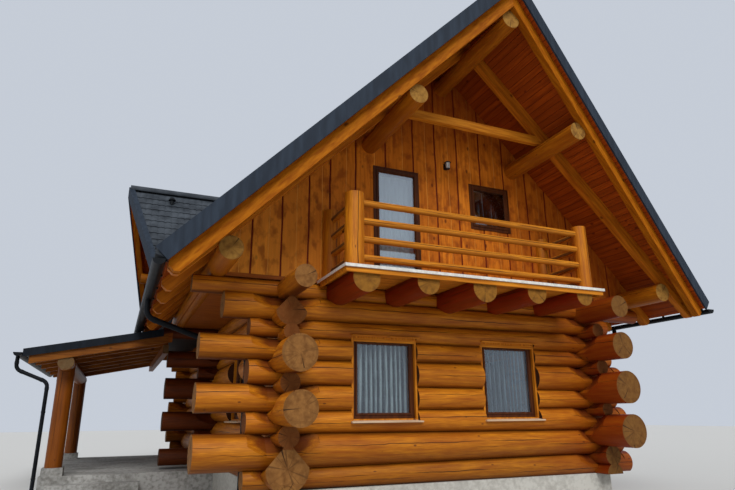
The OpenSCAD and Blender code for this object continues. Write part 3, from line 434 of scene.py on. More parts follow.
honey = ("D98A22", "A65C0E", "55270A")
level_timber = planed("planed_spruce_level", "xyz", honey)
dress("verge_rafters", planed("planed_spruce_verge_rafters", "xyz",
                              ("B46A10", "8E4A06", "4A2206"), slopes=True, rough=0.65, gloss=0.06))
dress("common_rafters", planed("planed_spruce_rafters", "xyz",
                               ("C97618", "9B5008", "50240A"), slopes=True))
dress("collar_ties", level_timber)
dress("window_linings", planed("planed_spruce_upright", "zxy", honey))
dress("roof_boarding", planed("red_brown_soffit_boards", "zxy", ("B2500E", "883806", "5A1C04"),
                              board=0.12, gap=0.005, slopes=True))
# The attic floor's darker tone is painted shade on its underside under the eaves
dress("attic_floor", planed("attic_floor_boards", "xyz", ("A85C18", "7A3A0C", "40200A")))


# Log purlins carry the roof on the gables and stick out under the verges, with sawn ends.
# Log joists carry the balcony, and lie on the last log of the front wall.
attic_z, purlin_x, purlin_drop = 3.499, 1.515, 0.33 / cos_p
ridge_purlin_z = ridge_z - purlin_drop
purlin_z = ridge_z - purlin_x * slope_tan - purlin_drop
eave_z = attic_z + 0.145
x_edges, x_hearts = [-2.7, -0.75, 0.75, 2.7], [-3.96, -purlin_x, 0, purlin_x, 3.96]
z_hearts = [eave_z, purlin_z, ridge_purlin_z, purlin_z, eave_z]
z_radii = [0.165, 0.155, 0.155, 0.155, 0.165]
dress("main_purlins", stained_log(
    "stained_spruce_purlins", "y", ("x", x_edges, x_hearts, [0.16] * 5),
    ("x", x_edges, z_hearts, z_radii), ends=("A97C38", "7E541E")))
y_edges, y_hearts = [7.05, 8.55], [side_y - purlin_x, side_y, side_y + purlin_x]
z_hearts = [z - side_drop for z in (purlin_z, ridge_purlin_z, purlin_z)]
dress("side_purlins", stained_log(
    "stained_spruce_side_purlins", "x", ("y", y_edges, y_hearts, [0.155] * 3),
    ("y", y_edges, z_hearts, [0.155] * 3)))
deck_x, deck_z, deck_t = (-2.44, 2.27), 3.529, 0.045
joist_radii = np.array([208, 185, 214, 185, 163]) / 1000
joist_x = deck_x[0] + 0.35 + np.arange(5) * (deck_x[1] - deck_x[0] - 0.74) / 4
joist_z = deck_z - deck_t - joist_radii * 0.59
joist_edges = ((joist_x[1:] + joist_x[:-1]) / 2).tolist()
# The joists' deep red tone is painted shade, where the deck above shades their sides
dress("balcony_joists", stained_log(
    "stained_spruce_joists", "y", ("x", joist_edges, joist_x, joist_radii),
    ("x", joist_edges, joist_z, joist_radii), tone=("961E04", "6A1202"), ends=("966622", "704410")))


# Gables: live-edge spruce boards nailed upright in two layers. Wide outer boards lap over the
# seams of a recessed layer, which shows as a narrower board and a dark wandering shadow gap.
def carried(name, runs, material, closed=False):
    """A mesh of rings of points carried along paths: each run is an array of rings by points by
    three. Neighbouring rings are joined by quads and the end rings are closed, or the last ring
    meets the first. A run whose volume comes out negative has its rings turned."""
    points, faces, first = [], [], 0
    for run in runs:
        run = np.asarray(run, float)
        n, m = run.shape[:2]
        i, j = np.arange(m), (np.arange(m) + 1) % m
        row = (np.arange(n if closed else n - 1) * m)[:, None]
        after = (row + m) % (n * m)
        quads = np.stack([row + i, row + j, after + j, after + i], -1).reshape(-1, 4)
        flat = run.reshape(-1, 3) - run.reshape(-1, 3).mean(0)
        a, b, c, d = (flat[quads[:, k]] for k in range(4))
        ends = [] if closed else [i[::-1], i + (n - 1) * m]
        volume = np.sum(a * np.cross(b, c)) + np.sum(a * np.cross(c, d))
        for e in ends:
            p = flat[e]
            volume += sum(np.dot(p[0], np.cross(p[k], p[k + 1])) for k in range(1, m - 1))
        turn = -1 if volume < 0 else 1
        faces += (quads[:, ::turn] + first).tolist() + [(e[::turn] + first).tolist() for e in ends]
        points.append(run.reshape(-1, 3))
        first += n * m
    mesh = bpy.data.meshes.new(name)
    mesh.from_pydata(np.concatenate(points), [], faces)
    mesh.materials.append(material)
    piece = bpy.data.objects.new(name, mesh)
    scene.collection.objects.link(piece)
    return piece


def mark(mesh, name, domain, values):
    """Stores a number on each face or point for a material to read."""
    data = mesh.attributes.new(name, "FLOAT", domain).data
    data.foreach_set("value", np.ravel(values).astype(np.float32))


def merged_copy(node_name):
    """A copy of a CAD node whose loose triangles are joined at their corners."""
    mesh = nodes[node_name].data.copy()
    piece = bpy.data.objects.new("copy_" + node_name, mesh)
    scene.collection.objects.link(piece)
    work = bmesh.new()
    work.from_mesh(mesh)
    bmesh.ops.remove_doubles(work, verts=work.verts, dist=0.00002)
    work.to_mesh(mesh)
    work.free()
    return piece


def points_of(piece):
    """The points of a piece's mesh, in rows of three."""
    co = np.empty(len(piece.data.vertices) * 3, np.float32)
    piece.data.vertices.foreach_get("co", co)
    return co.reshape(-1, 3)


def refinish(piece, co, name, material):
    """Gives a copied node moved points and a name and material of its own."""
    piece.data.vertices.foreach_set("co", co.ravel())
    piece.name = name
    piece.data.materials.clear()
    piece.data.materials.append(material)
    return piece


def keep(piece, slot_name, *stands_for):
    """Makes a new piece part of the house. The slot name is not used."""
    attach(piece, "root")
    if stands_for:
        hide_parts(*stands_for)
    return piece


def gable_finish(name, order):
    """The planed wood, with painted light on its left end and painted shade that makes it redder and
    darker under the ridge and towards the right.
    """
    m = planed(name, order, ("E78820", "BD6410", "5A2206"), seed_from="board", rough=0.6)
    tree = m.node_tree
    shader = next(n for n in tree.nodes if n.type == "BSDF_PRINCIPLED")
    wood = shader.inputs["Base Color"].links[0].from_socket
    here, (x, _, z) = place(tree)
    # Painted light: the left end, which sees more of the sky, is lightened towards pale gold
    wood = tint(tree, wood, "FFB040", x, -1.6, -3.6, 0.0, 0.42)
    # Blue stain and resin leave soft dark patches, 60 to 150 mm across
    drawn = put(tree, "VectorMath MULTIPLY", here, (1, 1, 0.6))
    patch = put(tree, "TexNoise", Vector=drawn, Scale=8.0, Detail=3.0)
    wood = tint(tree, wood, "803408", patch, 0.48, 0.66, 0.0, 0.6)
    # Painted highlight: the outer boards' right chamfers are lightened as lit edges
    chamfer_highlight = put(tree, "Attribute", out=2, attribute_name="chamfer_highlight")
    wood = put(tree, "MixRGB", put(tree, "Math MULTIPLY", chamfer_highlight, 0.38), wood, "FFC05C")
    # Painted shade: redder and darker under the ridge and towards the right end, which the roof shades
    high = put(tree, "MapRange", z, 5.9, 7.6, 0.0, 0.75)
    shaded_right = put(tree, "MapRange", x, 0.9, 3.0, 0.0, 0.5)
    wood = put(tree, "MixRGB", put(tree, "Math MAXIMUM", high, shaded_right), wood, "7A2604")
    tree.links.new(wood, shader.inputs["Base Color"])
    return m


gable_boards = gable_finish("live_edge_gable_boards", "zxy")
gable_side_boards = gable_finish("live_edge_side_gable_boards", "zyx")
# The sheathing's dark red tone stands in for the shade in the gaps between the boards: painted shade
behind_boards = planed("gable_sheathing", "zxy", ("7C260A", "5E1A06", "300A02"))
board_h = np.linspace(3.45, 8.1, 63)
front_seams = np.array([
    -4.4, -3.94, -3.483, -3.026, -2.588, -2.224, -1.768, -1.194, -0.637, -0.177,
    0.285, 0.80, 1.33, 1.851, 2.30, 2.78, 3.25, 3.70, 4.2])
board_step, step_spread, lap_share, lap_spread = 0.47, 0.05, 0.57, 0.05
seam_gap, bevel, board_t, core_back = 0.0005, 0.004, 0.013, 0.011
inner_back, shadow_gap, gable_out = 0.008, 0.022, 0.09


def live_edge(where):
    """A wandering joint: three sines of 2.3, 0.9 and 0.4 m with seeded phases, 9 mm at most."""
    p = rng.uniform(0, 2 * math.pi, 3)
    return (where + 0.005 * np.sin(board_h / 0.366 + p[0]) + 0.002 * np.sin(board_h / 0.143 + p[1])
            + 0.0015 * np.sin(board_h / 0.064 + p[2]))


for node_name, steps, face, inward, turned in (
        ("front_gable", front_seams, -gable_out, 1, False),
        ("back_gable", np.arange(-4.05, 4.45, board_step), house_l + gable_out, -1, False),
        ("side_gable", np.arange(5.55, 10.45, board_step), -half_w - gable_out, 1, True)):
    if node_name != "front_gable":
        steps = steps + rng.uniform(-step_spread, step_spread, len(steps))
    outer = [live_edge(x) for x in steps]
    laps = [live_edge(a + (lap_share + rng.uniform(-lap_spread, lap_spread)) * (b - a))
            for a, b in zip(steps[:-1], steps[1:])]
    runs = []
    for k, lap in enumerate(laps):
        # An outer board, then one of the layer behind it, which stops short of the next
        for a, b, set_back in ((outer[k], lap, 0.0), (lap, outer[k + 1] - shadow_gap, inner_back)):
            a, b = a + seam_gap, b - seam_gap
            front, back = face + inward * set_back, face + inward * board_t
            edge = front + inward * bevel
            across = np.stack([a, a + bevel, b - 3 * bevel, b, b, a], -1)
            depth = np.broadcast_to([edge, front, front, edge, back, back], across.shape)
            z = np.repeat(board_h[:, None], 6, 1)
            runs.append(np.stack([depth, across, z] if turned else [across, depth, z], -1))
    boards = carried(node_name + "_boards", runs, gable_side_boards if turned else gable_boards)
    board_faces = (len(board_h) - 1) * 6 + 2
    mark(boards.data, "board", "FACE", np.repeat(np.arange(len(runs)), board_faces))
    # Of each outer board's six long sides, the third is its right chamfer
    chamfer = np.r_[np.tile(np.arange(6) == 2, len(board_h) - 1), False, False]
    mark(boards.data, "chamfer_highlight", "FACE", np.tile(np.r_[chamfer, np.zeros_like(chamfer)], len(laps)))
    core = merged_copy(node_name)
    cut = boards.modifiers.new("cut", "BOOLEAN")
    cut.operation, cut.object, cut.solver = "INTERSECT", core, "EXACT"
    view = bpy.context.evaluated_depsgraph_get()
    trimmed = bpy.data.meshes.new_from_object(boards.evaluated_get(view))
    boards.modifiers.clear()
    boards.data = trimmed
    co = points_of(core)
    axis = 0 if turned else 1
    co[np.abs(co[:, axis] - face) < 0.0005, axis] += inward * core_back
    keep(refinish(core, co, node_name + "_core", behind_boards), "gable_boards", node_name)
    keep(boards, "gable_boards")


# Roof: interlocking concrete tiles in graphite, laid on battens in courses of 333 mm, each
# with two rolls in its 330 mm. Every tile stands 18 mm over the one below it.
def clouded(name, scale, detail, dark, light, rough):
    """A plain surface in two close tones, in soft patches of 1 m divided by the scale."""
    m, tree = finish_material(name)
    here, _ = place(tree)
    cloud = put(tree, "TexNoise", Vector=here, Scale=scale, Detail=detail)
    surface(tree, put(tree, "ValToRGB", cloud, stops=[(0.3, dark), (0.7, light)]), rough)
    return m


tile_grey, tree = finish_material("graphite_concrete_tiles")
here, _ = place(tree)
blotch = put(tree, "TexNoise", Vector=here, Scale=3.0, Detail=4.0)
grit = put(tree, "TexNoise", Vector=here, Scale=160.0, Detail=2.0)
colour = put(tree, "ValToRGB", blotch, stops=[(0.35, "2B3036"), (0.68, "454B52")])
surface(tree, colour, 0.7, grit, 0.002)
roof_edge_board = clouded("roof_edge_board", 9.0, 3.0, "25292E", "34393F", 0.6)
courses, roll_w, eave_out, cover, tile_room = 20, 0.165, 1.81, 0.208, 0.05
verge_out, verge_step, verge_board, side_half = 2.51, 0.25, 0.03, 2.395
gauge = ((half_w + eave_out) / cos_p + 0.03) / courses


def tile_courses(ends, spot):
    """Closed strips, one for each course. Across the ridge the face is height =
    16 mm * |sin(pi * t / 165 mm)| ** 0.7, and down the slope it rises by 18 mm over a course.
    ends(s) gives the strip's two ends along the ridge at distance s, and spot places a point."""
    runs = []
    for k in range(courses):
        s = np.array([k + 1, k + 1, k, k]) * gauge
        lift = np.array([-0.050, -0.018, -0.036, -0.058])
        lo, hi = np.array([ends(v) for v in s]).T
        if np.all(hi - lo < 0.05):
            continue
        first, last = math.floor(lo.min() / roll_w), math.ceil(hi.max() / roll_w)
        grid = np.arange(first, last + 0.01, 1 / 6) * roll_w
        t = np.clip(grid[:, None], lo, np.maximum(hi, lo))
        t = t[np.r_[True, np.any(np.diff(t, axis=0) > 1e-9, axis=1)]]
        wave = 0.016 * np.abs(np.sin(np.pi * t / roll_w)) ** 0.7
        runs.append(spot(np.broadcast_to(s, t.shape), t, lift + wave * np.array([0, 1, 1, 0])))
    return runs


def on_slope(side, centre=0.0, top=ridge_z, turned=False):
    """Places points at s down one slope, t along its ridge and so far over its covering."""
    def spot(s, t, up):
        level = centre + side * (s * cos_p + (cover + up) * sin_p)
        height = top - s * sin_p + (cover + up) * cos_p
        return np.stack([t, level, height] if turned else [level, t, height], -1)
    return spot


def level_out(s):
    """How far from the ridge the covering's face is at s down the slope."""
    return s * cos_p + cover * sin_p


def verge(s):
    """The front verge steps back a quarter of the distance from the ridge."""
    board = verge_board * math.sqrt(1 + verge_step ** 2)
    return -verge_out + verge_step * level_out(s) + board


def valley(s):
    """Half the width of the side roof where the main slope meets it. Below the side gable's
    corners the main courses run on under the side roof, up to 5 mm from the gable's opening."""
    return min(max(level_out(s) - side_drop / slope_tan, 0), side_half)


def left_back(s):
    """The left slope's courses behind the side roof."""
    return side_y + valley(s), max(house_l - verge(s), side_y + valley(s))


def side_slope(s):
    """The side roof's courses, from its verge to the main slope."""
    return verge(s) - half_w, -level_out(s) - side_drop / slope_tan


for name, ends, spot in (
        ("right", lambda s: (verge(s), house_l - verge(s)), on_slope(1)),
        ("left_front", lambda s: (verge(s), side_y - valley(s)), on_slope(-1)),
        ("left_back", left_back, on_slope(-1)),
        ("side_back", side_slope, on_slope(1, side_y, ridge_z - side_drop, True)),
        ("side_front", side_slope, on_slope(-1, side_y, ridge_z - side_drop, True))):
    keep(carried("tiles_" + name, tile_courses(ends, spot), tile_grey), "roof_tiles")
deck = merged_copy("roof_covering")
co = points_of(deck)
for level, offset in ((np.abs(co[:, 0]), 0.0), (np.abs(co[:, 1] - side_y), side_drop)):
    out = (co[:, 2] - ridge_z + offset) * cos_p + level * sin_p
    co[np.abs(out - cover) < 0.002, 2] -= tile_room / cos_p
keep(refinish(deck, co, "roof_deck", roof_edge_board), "roof_tiles", "roof_covering")
dress("ridge_caps", tile_grey)


# Verge flashings, gutters and pipes: folded steel sheet with a baked slate or anthracite
# coat. It is smooth, with a low sheen, faint dust streaks down it and waves from the folding.
def coated_sheet(name, colour, dusty, rough, gloss=0.2):
    """Dust is noise drawn out 6 times downwards, and buckles are noise of 0.3 m, 4 mm deep."""
    m, tree = finish_material(name)
    here, _ = place(tree)
    drawn = put(tree, "VectorMath MULTIPLY", here, (1, 1, 0.16))
    dust = put(tree, "TexNoise", Vector=drawn, Scale=12.0, Detail=4.0)
    shine = put(tree, "MapRange", dust, 0.0, 1.0, rough - 0.08, rough + 0.12)
    mixed = put(tree, "ValToRGB", dust, stops=[(0.38, colour), (0.75, dusty)])
    surface(tree, mixed, shine, put(tree, "TexNoise", Vector=here, Scale=3.2, Detail=1.0), 0.004, gloss)
    return m


porch_sheet = coated_sheet("porch_coated_steel", "10151B", "1A2029", 0.55, 0.1)
gutter_sheet = coated_sheet("anthracite_coated_steel", "0D1013", "171A1F", 0.45, 0.1)
dress("verge_flashings", coated_sheet("slate_coated_steel", "262D37", "343D49", 0.62, 0.08))
dress("porch_flashing porch_roof", porch_sheet)
dress("gutters roof_vent", gutter_sheet)


def bar(profile, ends, axis=0):
    """A straight bar: a profile in the other two axes, at its two ends along one axis."""
    return np.array([np.insert(np.asarray(profile, float), axis, e, 1) for e in ends])


def circle(radius, x=0.0, y=0.0, count=20):
    """Points round a circle in a profile's plane."""
    t = np.arange(count) * 2 * math.pi / count
    return np.c_[x + radius * np.cos(t), y + radius * np.sin(t)]


def rect(x0, y0, x1, y1, e=0.0):
    """A rectangle's corners, each cut off by e where that is given."""
    if not e:
        return np.array([(x0, y0), (x1, y0), (x1, y1), (x0, y1)])
    return np.array([(x0 + e, y0), (x1 - e, y0), (x1, y0 + e), (x1, y1 - e),
                     (x1 - e, y1), (x0 + e, y1), (x0, y1 - e), (x0, y0 + e)])


def bent_pipe(points, radius, bend):
    """A round pipe in an X-Z plane: its corners are arcs of the bend's radius, and every ring
    stands square to the path. Sleeves 4 mm thicker mark the sockets beside each bend."""
    p = np.array(points, float)
    path, sockets = [p[0]], []
    for a, b, c in zip(p[:-2], p[1:-1], p[2:]):
        u, v = (b - a) / np.linalg.norm(b - a), (c - b) / np.linalg.norm(c - b)
        turn = math.acos(np.clip(u @ v, -1, 1))
        reach = bend * math.tan(turn / 2)
        start = b - u * reach
        side = (v - u * (u @ v)) / math.sin(turn)
        t = np.linspace(0, turn, 9)[:, None]
        path += list(start + bend * (np.sin(t) * u + (1 - np.cos(t)) * side))
        sockets += [(start - u * 0.05, start), (b + v * reach, b + v * (reach + 0.05))]

    def sleeve(line, r):
        """Rings of radius r round a line."""
        line = np.asarray(line, float)
        along = np.gradient(line, axis=0)
        along /= np.linalg.norm(along, axis=1)[:, None]
        other = np.cross(along, (0, 1, 0))
        c, s = circle(r).T[:, :, None]
        return line[:, None] + c * np.array([0, 1, 0]) + s * other[:, None]

    return [sleeve([*path, p[-1]], radius)] + [sleeve(pair, radius + 0.004) for pair in sockets]


pipe_x, pipe_top, wall_x = 4.853, 3.2667, 3.26
upper_bend = pipe_top - 0.27
lower_bend = upper_bend - math.tan(math.radians(19)) * (pipe_x - wall_x)
pipes = []
for side, y in ((-1, 1.0), (1, 1.0), (1, 10.0)):
    eave, wall = side * pipe_x, side * wall_x
    pipes += bent_pipe([(eave, y, pipe_top), (eave, y, upper_bend), (wall, y, lower_bend),
                        (wall, y, 0)], 0.044, 0.17)
    pipes += [bar(circle(0.048, wall, y), (z, z + 0.03), 2) for z in (0.35, 1.35, 2.1)]
keep(carried("rain_pipes", pipes, gutter_sheet), "gutter_metal", "downpipes")

# The porch's gutter: a half round of sheet with two end caps, eight brackets and its pipe
rim, gutter_y, thick, porch_y = (-6.984, 2.73), (4.44, 10.91), 0.004, 4.56
trough = np.linspace(math.pi, 2 * math.pi, 17)
arc = np.c_[np.cos(trough), np.sin(trough)]
parts = [bar(np.r_[0.076 * arc, (0.076 - thick) * arc[::-1]] + rim, gutter_y, 1)]
parts += [bar(0.0755 * arc + rim, (y, y + thick), 1) for y in (gutter_y[0], gutter_y[1] - thick)]
for y in np.linspace(porch_y, 10.79, 8):
    parts.append(bar(rect(y - 0.015, 2.71, y + 0.015, 2.728), (-6.911, -6.9003)))
foot_x = -6.408
parts += bent_pipe([(rim[0], porch_y, 2.656), (rim[0], porch_y, 2.4137), (foot_x, porch_y, 2.1737),
                    (foot_x, porch_y, 0)], 0.036, 0.14)
parts += [bar(circle(0.040, foot_x, porch_y), (z, z + 0.03), 2) for z in (0.4, 1.6)]
keep(carried("porch_gutter_and_pipe", parts, gutter_sheet), "gutter_metal", "porch_gutter")

# Rolled edges on the outer rims of all gutters: the left eave's gutter parts at the side roof
bead_r, bead_x, bead_z, eave_y, side_roof_y = 0.0075, 4.921, 3.3355, (-1.326, 12.326), (5.588, 10.012)
beads = [bar(circle(bead_r, x, z), ends, 1) for x, z, ends in (
    (-7.052, 2.7225, gutter_y), (bead_x, bead_z, eave_y),
    (-bead_x, bead_z, (eave_y[0], side_roof_y[0])), (-bead_x, bead_z, (side_roof_y[1], eave_y[1])))]
keep(carried("gutter_beads", beads, gutter_sheet), "gutter_metal")


# Windows and doors: dark brown wooden casements with sealed glass units. A sash with a
# moulded edge closes on each frame, a pale larch sill sheds the rain over the logs, and a
# head board and a drip board close the opening under the logs above.
frame_brown = planed("dark_brown_joinery", "zxy", ("5A2E10", "3C1B08", "1A0904"), rough=0.42)
dress("window_frames attic_frames", frame_brown)


def glass_pane(name, least):
    """Clear glass whose reflection never falls below the least, as in a coated double pane."""
    m, tree = finish_material(name)
    shine = put(tree, "MapRange", put(tree, "Fresnel", IOR=1.52), 0.0, 1.0, least, 1.0)
    clear = put(tree, "BsdfTransparent", Color="E8EEEE")
    mirror = put(tree, "BsdfGlossy", Color="F4F8FF", Roughness=0.03)
    both = put(tree, "MixShader", shine, clear, mirror)
    put(tree, "OutputMaterial", Surface=both)
    return m


dress("window_glass attic_glass", glass_pane("window_glass", 0.045))
# Each opening's middle on its wall's axis, and how far its wall is turned from the front one
left_wall, right_wall = (-half_w, 2.75, -90), (half_w, 2.75, 90)
log_windows = [(-1.3, 0, 0), (1.08, 0, 0), (-1.3, house_l, 180), (1.08, house_l, 180),
               left_wall, right_wall, (half_w, side_y, 90)]
attic_windows = [(0.945, 0, 0), (-0.945, house_l, 180), (0.945, house_l, 180),
                 (-half_w, side_y, -90)]
balcony_door, entrance = (-1.01, 0, 0), (-half_w, side_y, -90)
sill_z, attic_sill_z, door_z = 1.42, attic_z + 1.27, 3.559


def stand(points, x, y, turn, z):
    """Turns points made for the front wall round Z and moves them to their opening."""
    c, s = math.cos(math.radians(turn)), math.sin(math.radians(turn))
    p = np.asarray(points, float)
    return np.stack([x + p[..., 0] * c - p[..., 1] * s, y + p[..., 0] * s + p[..., 1] * c,
                     z + p[..., 2]], -1)


def mitred(w, h, low, profile, ahead):
    """A moulding carried round a rectangle, so far ahead of the middle of the wall: each corner
    ring is the profile's inset and depth, pushed in from that corner along both sides."""
    inset, depth = np.array(profile).T
    corners = [(-1, 0), (1, 0), (1, 1), (-1, 1)]
    return np.array([np.stack([cx * (w / 2 - inset), depth - ahead,
                               low + (h - inset if cz else inset)], -1) for cx, cz in corners])


sash_profile = [(0, 0.02), (0, -0.008), (0.006, -0.014), (0.040, -0.014), (0.046, -0.008),
                (0.058, 0.012), (0.058, 0.02)]
slim_profile = [(0, 0.02), (0, -0.008), (0.005, -0.014), (0.024, -0.014), (0.029, -0.009),
                (0.036, 0.012), (0.036, 0.02)]
log_sash = (0.965, 1.115, 0.0825, slim_profile, 0.06)
attic_sash = (0.785, 0.785, 0.05, sash_profile, 0.102)
runs = [stand(mitred(*log_sash), *w, sill_z) for w in log_windows]
runs += [stand(mitred(*attic_sash), *w, attic_sill_z) for w in attic_windows]
keep(carried("window_sashes", runs, frame_brown, closed=True), "window_frames")
sill_ring = [(-0.1145, 0.010), (-0.236, -0.004), (-0.242, -0.012), (-0.236, -0.026),
             (-0.1145, -0.022)]
cap_ring = [(-0.10, 0.0), (-0.215, -0.012), (-0.215, -0.030), (-0.10, -0.018)]
head_ring = [(-0.064, -0.031), (-0.1155, -0.031), (-0.1155, -0.078), (-0.112, -0.082),
             (-0.068, -0.082), (-0.064, -0.078)]
sills, heads = [], []
for w in log_windows:
    for profile, half, z, pieces in ((sill_ring, 0.60, 0.0, sills), (cap_ring, 0.585, 1.298, heads),
                                     (head_ring, 0.5325, 1.28, heads)):
        pieces.append(stand(bar(profile, (-half, half)), *w, sill_z + z))
pale_sill = planed("pale_larch_sill", "xyz", ("D9C0A2", "BC9C7C", "8A6444"), rough=0.5)
keep(carried("window_sills", sills, pale_sill), "rafter_timber")
keep(carried("window_heads", heads, level_timber), "rafter_timber")


# Balcony door: the same joinery, one glazed leaf from sill to head in a fixed frame, with
# no handle on its outside.
door_frame = [(0, 0.078), (0, 0), (0.068, 0), (0.068, 0.078)]
runs = [stand(mitred(0.889, 2.129, 0, door_frame, 0.102), *balcony_door, door_z),
        stand(mitred(0.785, 2.025, 0.052, sash_profile, 0.102), *balcony_door, door_z)]
door_leaf = carried("balcony_door_leaf", runs, frame_brown, closed=True)
keep(door_leaf, "window_frames", "balcony_door")
door_pane = bar(rect(-0.376, -0.087, 0.376, -0.075), (0.068, 2.061), 2)
door_glass = glass_pane("balcony_door_glass", 0.22)
keep(carried("balcony_door_glass", [stand(door_pane, *balcony_door, door_z)], door_glass), "glass")


# Entrance door: upright spruce boards in a plank frame, stained dark brown. A lever handle of
# black wrought iron is screwed to it on a long plate.
dress("entrance_door", planed("entrance_door_boards", "zyx", ("7A4016", "552608", "1E0C06"),
                              board=0.118, gap=0.007, rough=0.45))
black_iron = coated_sheet("black_wrought_iron", "141416", "26272A", 0.5)
runs = [bar(rect(0.38, 0.93, 0.43, 1.17, 0.005), (-0.0405, -0.046), 1)]
for a, b in (((0.405, -0.045, 1.08), (0.405, -0.094, 1.08)),
             ((0.414, -0.088, 1.08), (0.285, -0.088, 1.076))):
    along = (Vector(b) - Vector(a)).normalized()
    u = along.orthogonal().normalized()
    c, s = circle(0.009, count=12).T[:, :, None]
    runs.append(np.array([p + c * np.array(u) + s * np.array(along.cross(u)) for p in (a, b)]))
runs = [stand(r, *entrance, 0.5) for r in runs]
keep(carried("entrance_handle", runs, black_iron), "black_metal")


# Wall lantern: a black wrought iron lantern with six ribs round a frosted glass body. Its arm
# stands on a plate that is screwed to the gable between the balcony door and the window.
lantern_x = (balcony_door[0] + attic_windows[0][0]) / 2 + 0.045
lantern_at = np.array([lantern_x, -0.185, attic_z + 2.4103])


def spun(profile):
    """A profile of radii and heights turned round the lantern's upright axis."""
    return np.array([np.c_[circle(r, count=24), np.full(24, z)] for r, z in profile]) + lantern_at


iron = [spun([(0.036, -0.080), (0.042, -0.076), (0.042, -0.066), (0.034, -0.064)]),
        spun([(0.040, 0.046), (0.062, 0.048), (0.062, 0.054), (0.030, 0.076), (0.012, 0.080)])]
for t in np.arange(6) * math.pi / 3 + 0.3:
    rib = rect(-0.002, -0.002, 0.002, 0.002) + (0.040 * math.cos(t), 0.040 * math.sin(t))
    iron.append(bar(rib, (-0.068, 0.050), 2) + lantern_at)
wall_plate = bar(rect(-0.035, -0.06, 0.035, 0.06, 0.005), (-0.0902, -0.104), 1)
arm = np.array([np.insert(circle(0.008, 0, z, 12), 1, y, 1)
                for y, z in ((-0.10, 0.05), (-0.14, 0.062), (-0.175, 0.068))])
iron += [run + lantern_at * (1, 0, 1) for run in (wall_plate, arm)]
keep(carried("lantern_iron", iron, black_iron), "black_metal", "wall_lantern")
frosted = clouded("frosted_lantern_glass", 45.0, 2.0, "D2D6D0", "F2F3EE", 0.35)
lantern_glass = spun([(0.034, -0.064), (0.037, -0.06), (0.037, 0.046)])
keep(carried("lantern_glass", [lantern_glass], frosted), "glass")


# Curtains: sheer white voile, gathered on rods inside the windows, that hangs in soft pleats
# of about 90 mm and lets the dark room show through a little.
def sheer(name, shaded, lit):
    """Folds that stand towards the glass are painted white as lit, and those behind them are thin and
    painted dark as shade.
    Threads are noise drawn out 16 times downwards, and the weave is drawn at 4 mm to show."""
    m, tree = finish_material(name)
    here, _ = place(tree)
    drawn = put(tree, "VectorMath MULTIPLY", here, (1, 1, 0.06))
    thread = put(tree, "TexNoise", Vector=drawn, Scale=30.0, Detail=3.0)
    fold = put(tree, "Attribute", out=2, attribute_name="fold")
    fold = put(tree, "Math MULTIPLY_ADD", thread, 0.9, fold)
    colour = put(tree, "ValToRGB", fold, stops=[(0.45, shaded), (0.90, lit)])
    dense = put(tree, "MapRange", fold, 0.42, 0.88, 0.10, 0.98)
    weave = put(tree, "TexNoise", Vector=here, Scale=240.0, Detail=1.0)
    surface(tree, colour, 0.9, weave, 0.0004, Alpha=dense)
    return m


voile = sheer("white_voile", "2A2F35", "F4F6F8")
shaded_voile = sheer("shaded_voile", "171A1E", "969EA7")
rod_metal = coated_sheet("white_curtain_rod", "C8C6C0", "DAD8D2", 0.4)
# Opening, its base, width, height, height over the base, depth in the wall, painted lightness
hangings = [(w, sill_z, 1.03, 1.19, 0.045, 0.12, -0.10 * (k == 1))
            for k, w in enumerate(log_windows)]
hangings += [(w, attic_sill_z, 0.80, 0.80, 0.04, 0.10, -0.3) for w in attic_windows]
hangings.append((balcony_door, door_z, 0.80, 1.84, 0.21, 0.10, 0.7))
pleat, pleat_points = 0.094, 12
for number, (w, base_z, wide, tall, low, back, painted_lightness) in enumerate(hangings):
    u = np.linspace(0, 1, int(wide / pleat * pleat_points))[:, None]
    v = np.linspace(0, 1, 15)[None, :]
    drift = rng.uniform(0, 6, 3)
    swing = (0.6 + 0.4 * v) * (0.022 + 0.006 * np.sin(9 * u + drift[0]))
    x = wide * (u - 0.5) + 0.006 * v * np.sin(17 * u + drift[1])
    # Pleats of uneven width: the phase runs ahead and behind by three slower sines
    uneven = (1.3 * np.sin(5 * u + drift[2]) + 0.8 * np.sin(13 * u + drift[1])
              + 0.25 * np.sin(3 * v + drift[0]))
    wave = np.sin(2 * math.pi * wide / pleat * u + uneven)
    z = low + tall * (1 - v) + 0 * u
    grid = stand(np.stack([x, back + swing * wave, z], -1), *w, base_z)
    n, k = grid.shape[:2]
    i = (np.arange(n - 1)[:, None] * k + np.arange(k - 1)).ravel()
    mesh = bpy.data.meshes.new(f"curtain_{number}")
    mesh.from_pydata(grid.reshape(-1, 3), [], np.stack([i, i + k, i + k + 1, i + 1], -1).tolist())
    # The fold value paints light and shade on the pleats, crests lit and troughs shaded, shifted by the
    # opening's painted lightness, which also thickens the voile
    mark(mesh, "fold", "POINT", 0.22 - 0.28 * wave + painted_lightness)
    mesh.materials.append(shaded_voile if number == 1 else voile)
    mesh.shade_smooth()
    curtain = bpy.data.objects.new(f"curtain_{number}", mesh)
    scene.collection.objects.link(curtain)
    rod_end = wide / 2 + 0.012
    rod = bar(circle(0.009, back, low + tall + 0.002, 12), (-rod_end, rod_end))
    rod = carried(f"curtain_rod_{number}", [stand(rod, *w, base_z)], rod_metal)
    keep(rod, "window_frames")
    keep(curtain, "glass")


